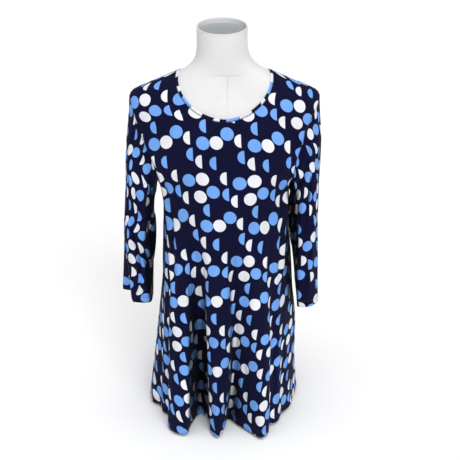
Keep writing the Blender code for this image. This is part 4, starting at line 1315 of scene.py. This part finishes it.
def build_sleeve(side, name, outlines, lean, cuff_height, creases, print_origin, pulls, panels):
    """A sleeve, from the finished panels' armhole; returns its cloth, points and normals."""
    flip = side < 0
    armhole = slice(ARMPIT_ROW, TIP_ROW + 1)
    front = panels[FRONT][1][armhole, 0 if flip else -1][::-1]
    back = panels[BACK][1][armhole, -1 if flip else 0]
    loop = np.concatenate([front[:-1], back[:-1]])
    points = sleeve_grid(outlines, lean, cuff_height, loop)
    normals = grid_normals(points, closed=True, flip=flip)
    arc = run_length(closed_up(points, 1).transpose(1, 0, 2)).T
    fall = run_length(points) + (SHOULDER_TIP_HEIGHT - points[:1, :, 2])
    seam = edge_distance(points, [closed_up(loop)])
    cuff_rise = points[..., 2] - cuff_height
    drawn = np.stack([arc[:, :-1], points[..., 2]], -1)
    points = creased(points, normals, drawn, creases, ease(seam / SEAM_HOLD))
    points = kept_clear(points, panels)
    normals = grid_normals(points, closed=True, flip=flip)

    order, around = from_underarm(arc, len(front) - 1)
    points, normals = points[:, order], normals[:, order]
    cloth = sleeve_cloth(side, around, closed_up(fall[:, order], 1), pulls)
    flat = lattice(cloth, print_origin, turned=True)
    from_start = abs(around[:, :-1] - around[:, :1])
    to_end = abs(around[:, -1:] - around[:, :-1])
    seam = np.minimum(seam[:, order], np.minimum(from_start, to_end))
    facts = {"seam": seam, "hem": cuff_rise[:, order]}
    made = shell(name + "_cloth", points, normals, flat, facts, closed=True, flip=flip)
    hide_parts(name)
    stitches = hem_stitches(closed_up(points, 1), closed_up(normals, 1), cuff_height)
    thread = add_stitches(name + "_cuff_stitches", stitches)
    return made, points, normals


def build_binding(panels):
    """The neck binding: one closed folded band, a little proud of the panels."""
    seam, edge = [], []
    for facing, (_, points, _) in panels.items():
        side, share, height = neckline_points(facing, False, column_places(facing))
        seam.append(points[-1, :-1])
        edge.append(on_cloth(facing, side, share, height)[:-1])
    seam, edge = np.concatenate(seam), np.concatenate(edge)
    across = edge - seam
    up = unit(np.cross(across, np.roll(seam, -1, axis=0) - np.roll(seam, 1, axis=0)))
    up *= np.sign(up[:, 2:3])

    # Its outline in cross-section: across the band from the seam, and outwards
    angle = np.linspace(0, 2 * np.pi, BINDING_STEPS, endpoint=False)
    shares = 0.5 - 0.5 * signed_power(np.cos(angle), BINDING_EDGE_POWER)
    rises = BINDING_CLOTH / 2 * signed_power(np.sin(angle), BINDING_FACE_POWER) + BINDING_RISE
    rings = [seam + across * share + up * rise for share, rise in zip(shares, rises)]
    places = grid_places(BINDING_STEPS + 1, len(seam) + 1)
    faces = point_numbers(places, BINDING_STEPS, len(seam)).tolist()
    made = add_mesh("neck_binding_cloth", np.concatenate(rings), faces, [jersey(bound=True)])

    # The band is cut along the print's rows, so the same dots come round again
    along = run_length(closed_up(seam))[places[..., 1]] / BINDING_STRETCH
    down = closed_up(shares)[places[..., 0]] * BINDING_WIDTH
    down += along * REPEAT_ACROSS[1] / REPEAT_ACROSS[0]
    add_print(made, lattice(np.stack([along, down], -1), BINDING_PRINT_ORIGIN))
    add_fact(made, "seam", np.repeat(shares * BINDING_WIDTH, len(seam)))
    add_fact(made, "hem", np.full(BINDING_STEPS * len(seam), FAR))
    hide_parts("neck_binding")
    line = seam + across * BINDING_STITCH_PLACE + up * (BINDING_CLOTH / 2 + BINDING_RISE)
    thread = add_stitches("neck_binding_stitches", [(closed_up(line), closed_up(up))])


def form_ring(height, columns):
    """One ring of the dress form."""
    rows = np.array(FORM_SECTIONS)
    side, front, back, squareness = smooth_curve(rows[:, 0], rows[:, 1:], np.array(height))
    angle = 2 * np.pi * np.arange(columns) / columns
    x = side * signed_power(np.sin(angle), 2 / squareness)
    depth = np.where(np.cos(angle) > 0, front, back)
    y = -depth * signed_power(np.cos(angle), 2 / squareness)
    return np.stack([x, y, np.full(columns, float(height))], 1)


def lean_and_tilt(ring):
    """Leans the neck to one side and tilts its rim down to the front."""
    ring = ring.copy()
    low, high = NECK_LEAN_HEIGHTS
    ring[:, 0] += NECK_LEAN * ease((ring[:, 2] - low) / (high - low))
    share = np.clip((ring[:, 2] - NECK_TILT_START) / (RIM_HEIGHT - NECK_TILT_START), 0, None)
    ring[:, 2] += NECK_TILT_SLOPE * ring[:, 1] * share
    return ring


def rim_rings():
    """The rings over the form's rolled rim and down inside its neck, to the cap."""
    rim = form_ring(RIM_HEIGHT, FORM_COLUMNS)
    radius = np.linalg.norm(rim[:, :2], axis=1, keepdims=True)
    angle = np.arange(FORM_COLUMNS) * 2 * np.pi / FORM_COLUMNS
    # Small gathers in the cover where it turns over the rim, closest at the two sides
    depth = GATHER_LEAST + (1 - GATHER_LEAST) * abs(np.sin(angle)) ** GATHER_CLOSENESS
    gather = (np.sin(angle * GATHERS) * depth * GATHER_DEPTH)[:, None]
    rings = []
    for turn in np.linspace(0, np.pi, RIM_STEPS):
        ring = rim.copy()
        inset = RIM_WIDTH / 2 * (1 - np.cos(turn))
        ring[:, :2] *= 1 - (inset + gather * np.sin(turn)) / radius
        ring[:, 2] = RIM_HEIGHT - RIM_ROUND + RIM_ROUND * np.sin(turn)
        rings.append(ring)
    for deep in np.linspace(NECK_FIRST_DEPTH, 1, RIM_STEPS):
        ring = rings[-1].copy()
        ring[:, 2] = RIM_HEIGHT - RIM_ROUND - deep * (CAP_RECESS - RIM_ROUND)
        rings.append(ring)
    return rings


def add_stack(name, rings, material):
    """A solid through rings of points, closed at both ends."""
    count = len(rings[0])
    faces = grid_faces(len(rings), count, closed=True).tolist()
    faces.append(list(range(count))[::-1])
    faces.append(list(range((len(rings) - 1) * count, len(rings) * count)))
    return add_mesh(name, np.concatenate(rings), faces, [material])


def build_form():
    """The dress form's jersey-covered body with its rolled rim, and the cap in its neck."""
    hidden = np.linspace(0, FORM_SHOWS, FORM_HIDDEN_ROWS, endpoint=False)
    seen = np.linspace(FORM_SHOWS, RIM_HEIGHT - RIM_ROUND, FORM_ROWS)
    rings = [form_ring(height, FORM_COLUMNS) for height in (*hidden, *seen)]
    rings = [lean_and_tilt(ring) for ring in rings + rim_rings()]
    made = add_stack(FORM_COVER, rings, cover_material())
    for end in made.data.polygons[-2:]:
        end.use_smooth = False
    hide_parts("form_torso")
    build_cap(rings[-1])


def build_cap(floor):
    """The cap: a moulded plate with a slightly raised, rounded edge, low in the neck.

    floor is the ring of points inside the neck that the plate lies in.
    """
    middle = floor.mean(axis=0)
    radius = np.linalg.norm(floor - middle, axis=1).mean()
    normal = unit(np.array([0.0, -NECK_TILT_SLOPE, 1.0]))
    rings = []
    for share, rise in CAP_PROFILE:
        ring = middle + (floor - middle) * (share - CAP_GAP / radius)
        rings.append(ring + normal * (rise * CAP_THICKNESS + CAP_GAP))
    plate = add_stack("neck_cap_plate", rings, cap_material())
    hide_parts("neck_cap")


class Nodes:
    """Builds a material's node tree: each call adds a node and returns its first output."""

    def __init__(self, name):
        self.material = bpy.data.materials.new(name)
        self.material.use_nodes = True
        self.tree = self.material.node_tree
        self.shader = self.tree.nodes["Principled BSDF"]

    def add(self, kind, values=(), output=0, **settings):
        """A node with the values on its first sockets, None leaving a socket as it is."""
        made = self.tree.nodes.new(kind)
        for key, value in settings.items():
            setattr(made, key, value)
        for place, value in enumerate(values):
            if value is not None:
                self.feed(made.inputs[place], value)
        return made.outputs[output]

    def feed(self, socket, value):
        """Links another node's output to the socket, or sets the socket's own value."""
        if isinstance(value, bpy.types.NodeSocket):
            self.tree.links.new(value, socket)
        else:
            socket.default_value = value

    def math(self, operation, *values):
        """A sum or other operation on numbers."""
        return self.add("ShaderNodeMath", values, operation=operation)

    def vector(self, operation, *values):
        """An operation on vectors."""
        output = 1 if operation == "LENGTH" else 0
        return self.add("ShaderNodeVectorMath", values, output, operation=operation)

    def parts(self, vector):
        """A vector's x, y and z."""
        return self.add("ShaderNodeSeparateXYZ", (vector,)).node.outputs

    def place(self):
        """The point's own place on its object."""
        return self.add("ShaderNodeTexCoord", output=3)

    def noise(self, where, scale, detail=2.0):
        """Soft noise between 0 and 1."""
        return self.add("ShaderNodeTexNoise", (where, None, scale, detail))

    def ramp(self, value, low, high, from_value=0.0, to_value=1.0):
        """The value's way from low to high, as a soft step between two results."""
        values = (value, low, high, from_value, to_value)
        return self.add("ShaderNodeMapRange", values, interpolation_type="SMOOTHSTEP")

    def mix(self, share, first, second, blend="MIX"):
        """A colour between two others, on the node's seventh and eighth sockets."""
        values = [share, None, None, None, None, None, first, second]
        return self.add("ShaderNodeMix", values, 2, data_type="RGBA", blend_type=blend)

    def shaded(self, colour, factor):
        """The colour made darker or paler by a factor."""
        grey = self.add("ShaderNodeCombineXYZ", (factor, factor, factor))
        return self.mix(1.0, colour, grey, blend="MULTIPLY")

    def attribute(self, name):
        """A number that the mesh holds at each of its points."""
        return self.add("ShaderNodeAttribute", output=2, attribute_name=name)

    def bump(self, height, distance, strength=1.0, below=None):
        """A surface with relief from a height, on another surface if one is given."""
        names = ("Strength", "Distance", "Height", "Normal")
        made = self.tree.nodes.new("ShaderNodeBump")
        for key, value in zip(names, (strength, distance, height, below)):
            if value is not None:
                self.feed(made.inputs[key], value)
        return made.outputs[0]

    def finish(self, **values):
        """Sets the shader's sockets and returns the material."""
        for key, value in values.items():
            self.feed(self.shader.inputs[key.replace("_", " ")], value)
        return self.material


def knit(nodes, where):
    """The height of fine jersey's stitches: columns of small V shapes."""
    steps = (math.pi / KNIT_SIZE, math.pi / (KNIT_HEIGHT * KNIT_SIZE), 0.0)
    across, along, _ = nodes.parts(nodes.vector("MULTIPLY", where, steps))
    across = nodes.math("ABSOLUTE", nodes.math("SINE", across))
    slant = nodes.math("MULTIPLY_ADD", across, KNIT_SLANT, along)
    loops = nodes.math("ABSOLUTE", nodes.math("SINE", slant))
    return nodes.math("MULTIPLY_ADD", loops, KNIT_LOOPS, across)


def inside_dots(nodes, where, motifs):
    """How far inside the nearest of the motifs a point of the print lies, in metres."""
    width, height = REPEAT_ACROSS[0], REPEAT_DOWN[1]
    high, low = (width / 2, height / 2, 1.0), (-width / 2, -height / 2, -1.0)
    deepest = None
    for shape, x, y in motifs:
        half = shape == "half"
        spot = lattice(np.array([x + (HALF_DOT_SHIFT if half else 0.0), y]), (0.0, 0.0))
        away = nodes.vector("SUBTRACT", where, (*spot, 0.0))
        near = nodes.vector("WRAP", away, high, low)
        inside = nodes.math("SUBTRACT", DOT_RADIUS, nodes.vector("LENGTH", near))
        if half:
            left = nodes.math("MULTIPLY", nodes.parts(near)[0], -1.0)
            inside = nodes.math("MINIMUM", inside, left)
        deepest = inside if deepest is None else nodes.math("MAXIMUM", deepest, inside)
    return deepest


@cache
def jersey(wrong=False, bound=False):
    """The printed jersey's right side, its paler wrong side, or the folded binding, with painted
    shade in its seams and, but for the binding, in deep folds.
    """
    nodes = Nodes("jersey_wrong_side" if wrong else "jersey_binding" if bound else "jersey_print")
    where = nodes.add("ShaderNodeUVMap", uv_map=CLOTH_MAP)
    grain = nodes.noise(where, GRAIN_SCALE, detail=3.0)
    # Ink spreads unevenly along the loops, so a dot's edge wavers a little
    waver = nodes.math("MULTIPLY_ADD", grain, 2 * EDGE_WAVER, -EDGE_WAVER)
    colour = NAVY
    for motifs, ink, dim in ((BLUE_MOTIFS, BLUE, BLUE_DIM), (WHITE_MOTIFS, WHITE, WHITE_DIM)):
        depth = nodes.math("ADD", inside_dots(nodes, where, motifs), waver)
        mask = nodes.ramp(depth, -EDGE_SOFTNESS, EDGE_SOFTNESS)
        speckled = nodes.mix(nodes.ramp(grain, *GRAIN_SPECKLE), ink, dim)
        colour = nodes.mix(mask, colour, speckled)
    clouds = nodes.ramp(nodes.noise(where, CLOUD_SCALE), *NOISE_RANGE, *CLOUD_SHADES)
    colour = nodes.shaded(colour, clouds)
    if not bound:
        # painted shade: the colour darkens where the cloth lies deep in folds, hemmed in by other
        # cloth
        dark = nodes.ramp(nodes.attribute("open"), *SHADE_RANGE, SHADE_DARKEST, 1.0)
        colour = nodes.shaded(colour, dark)
    in_seam = nodes.ramp(nodes.attribute("seam"), 0.0, SEAM_GROOVE, 1.0, 0.0)
    # painted shade darkens the seams' grooves, which the relief below also sinks
    colour = nodes.mix(nodes.math("MULTIPLY", in_seam, SEAM_SHADE), colour, JERSEY_SEAM_SHADOW)
    if wrong:
        colour = nodes.mix(WRONG_SIDE_FADE, colour, WRONG_SIDE)
    surface = nodes.bump(knit(nodes, where), *KNIT_BUMP)
    hem_end = (HEM_DEPTH - HEM_STEP, HEM_DEPTH + HEM_STEP)
    doubled = nodes.ramp(nodes.attribute("hem"), *hem_end, 1.0, 0.0)
    relief = nodes.math("SUBTRACT", nodes.math("MULTIPLY", doubled, HEM_RELIEF), in_seam)
    return nodes.finish(
        Base_Color=colour,
        Roughness=nodes.ramp(grain, *NOISE_RANGE, *JERSEY_ROUGHNESS),
        Normal=nodes.bump(relief, SEAM_DEPTH, 1.0, surface),
        **JERSEY_FINISH,
    )


@cache
def thread_material():
    """Navy sewing thread: a fine twist."""
    nodes = Nodes("sewing_thread")
    twist = nodes.noise(nodes.place(), THREAD_NOISE_SCALE, detail=1.0)
    colour = nodes.mix(twist, THREAD, THREAD_LIGHT)
    surface = nodes.bump(twist, *THREAD_BUMP)
    return nodes.finish(Base_Color=colour, Normal=surface, **THREAD_FINISH)


def cover_seams(nodes, where):
    """How deep a point lies in the cover's seams: the neck's, and the chest's below it."""
    x, y, z = nodes.parts(where)
    beside = nodes.math("ABSOLUTE", nodes.math("SUBTRACT", x, COVER_SEAM_X))
    collar_height = nodes.math("MULTIPLY_ADD", y, COVER_COLLAR_SLOPE, COVER_COLLAR_HEIGHT)
    above = nodes.math("SUBTRACT", z, collar_height)
    collar = nodes.ramp(nodes.math("ABSOLUTE", above), 0.0, COVER_SEAM_WIDTH, 1.0, 0.0)
    collar = nodes.math("MULTIPLY", collar, nodes.ramp(beside, *COVER_COLLAR_REACH, 1.0, 0.0))
    chest = nodes.ramp(beside, 0.0, COVER_SEAM_WIDTH, 1.0, 0.0)
    faint = nodes.ramp(above, -COVER_CHEST_REACH, 0.0, COVER_CHEST_FAINTEST, 1.0)
    below = nodes.math("LESS_THAN", above, 0.0)
    chest = nodes.math("MULTIPLY", nodes.math("MULTIPLY", chest, faint), below)
    on_front = nodes.math("LESS_THAN", y, 0.0)
    return nodes.math("MULTIPLY", nodes.math("MAXIMUM", chest, collar), on_front)


def cover_material():
    """The dress form's white jersey cover: fine knit and faint seams, with painted shade in the
    seams.
    """
    nodes = Nodes("form_cover_jersey")
    where = nodes.place()
    in_seam = cover_seams(nodes, where)
    clouds = nodes.ramp(nodes.noise(where, COVER_CLOUD_SCALE, detail=3.0), *COVER_CLOUDS)
    flecks = nodes.ramp(nodes.noise(where, COVER_FLECK_SCALE), *COVER_FLECKS)
    colour = nodes.mix(clouds, COVER, COVER_SHADE)
    colour = nodes.mix(flecks, colour, COVER_FLECK)
    # painted shade darkens the cover's seam grooves, which the relief below also sinks
    colour = nodes.mix(nodes.math("MULTIPLY", in_seam, COVER_SEAM_SHADE), colour, COVER_SEAM_SHADOW)
    lines = nodes.vector("MULTIPLY", where, COVER_KNIT_STRETCH)
    surface = nodes.bump(nodes.noise(lines, COVER_KNIT_SCALE, detail=1.0), *COVER_KNIT_BUMP)
    uneven = nodes.noise(where, COVER_UNEVEN_SCALE)
    surface = nodes.bump(uneven, *COVER_UNEVEN_BUMP, surface)
    sunken = nodes.math("MULTIPLY", in_seam, -1.0)
    surface = nodes.bump(sunken, COVER_SEAM_DEPTH, 1.0, surface)
    return nodes.finish(Base_Color=colour, Normal=surface, **COVER_FINISH)


def cap_material():
    """Grey moulded plastic with a fine grain."""
    nodes = Nodes("cap_plastic")
    where = nodes.place()
    grain = nodes.noise(where, CAP_GRAIN_SCALE)
    return nodes.finish(
        Base_Color=nodes.mix(nodes.noise(where, CAP_CLOUD_SCALE), CAP, CAP_PALE),
        Normal=nodes.bump(grain, *CAP_BUMP),
        Roughness=nodes.ramp(grain, *NOISE_RANGE, *CAP_ROUGHNESS),
        Specular_IOR_Level=CAP_SHINE,
    )


def build_floor():
    """A plain pale floor."""
    mesh = bpy.data.meshes.new("floor")
    r = FLOOR_REACH
    mesh.from_pydata([(-r, -r, 0), (r, -r, 0), (r, r, 0), (-r, r, 0)], [], [(0, 1, 2, 3)])
    nodes = Nodes("floor_paint")
    spots = nodes.noise(nodes.place(), FLOOR_SPOT_SCALE)
    colour = nodes.mix(spots, FLOOR, FLOOR_SHADE)
    mesh.materials.append(nodes.finish(Base_Color=colour, **FLOOR_FINISH))
    add_object("floor", mesh)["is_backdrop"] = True


def build_lights():
    """Soft suns from the front, the side and above."""
    for name, strength, spread, elevation, azimuth, colour in LIGHTS:
        light = bpy.data.lights.new(name, "SUN")
        light.energy = strength
        light.angle = math.radians(spread)
        light.color = colour
        lamp = add_object(name, light)
        lamp.rotation_euler = (math.radians(90 - elevation), 0, math.radians(azimuth))


def build_studio():
    """The studio's walls: pale near the floor and darker overhead."""
    world = bpy.data.worlds.new("studio")
    world.use_nodes = True
    tree = world.node_tree
    background = tree.nodes["Background"]
    background.inputs["Color"].default_value = STUDIO
    toward = tree.nodes.new("ShaderNodeTexCoord")
    parts = tree.nodes.new("ShaderNodeSeparateXYZ")
    fade = tree.nodes.new("ShaderNodeMapRange")
    fade.interpolation_type = "SMOOTHSTEP"
    sockets = ("From Min", "From Max", "To Min", "To Max")
    for socket, value in zip(sockets, (*WALL_TOP, WALL_STRENGTH, STUDIO_STRENGTH)):
        fade.inputs[socket].default_value = value
    tree.links.new(toward.outputs["Generated"], parts.inputs[0])
    tree.links.new(parts.outputs["Z"], fade.inputs[0])
    tree.links.new(fade.outputs[0], background.inputs["Strength"])
    bpy.context.scene.world = world
    bpy.context.scene.view_settings.view_transform = "Standard"


def build_camera():
    """The photo's camera: in front of the form, above it and looking down."""
    lens = bpy.data.cameras.new("camera")
    lens.lens = CAMERA_LENS
    lens.sensor_width = CAMERA_SENSOR
    camera = add_object("camera", lens)
    camera.location = CAMERA_PLACE
    camera.rotation_euler = (math.radians(CAMERA_TILT), 0, 0)
    bpy.context.scene.camera = camera


build_floor()
build_lights()
build_studio()
build_camera()
build_form()
finished_panels = {facing: build_panel(facing, *facts) for facing, facts in PANELS.items()}
finished_sleeves = [
    build_sleeve(side, *facts, finished_panels) for side, facts in SLEEVES.items()
]
build_binding(finished_panels)
add_openness([*finished_panels.values(), *finished_sleeves])

boxes = {"cad": cad_bounds, "visual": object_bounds()}
{key: [list(corner) for corner in box] for key, box in boxes.items()}
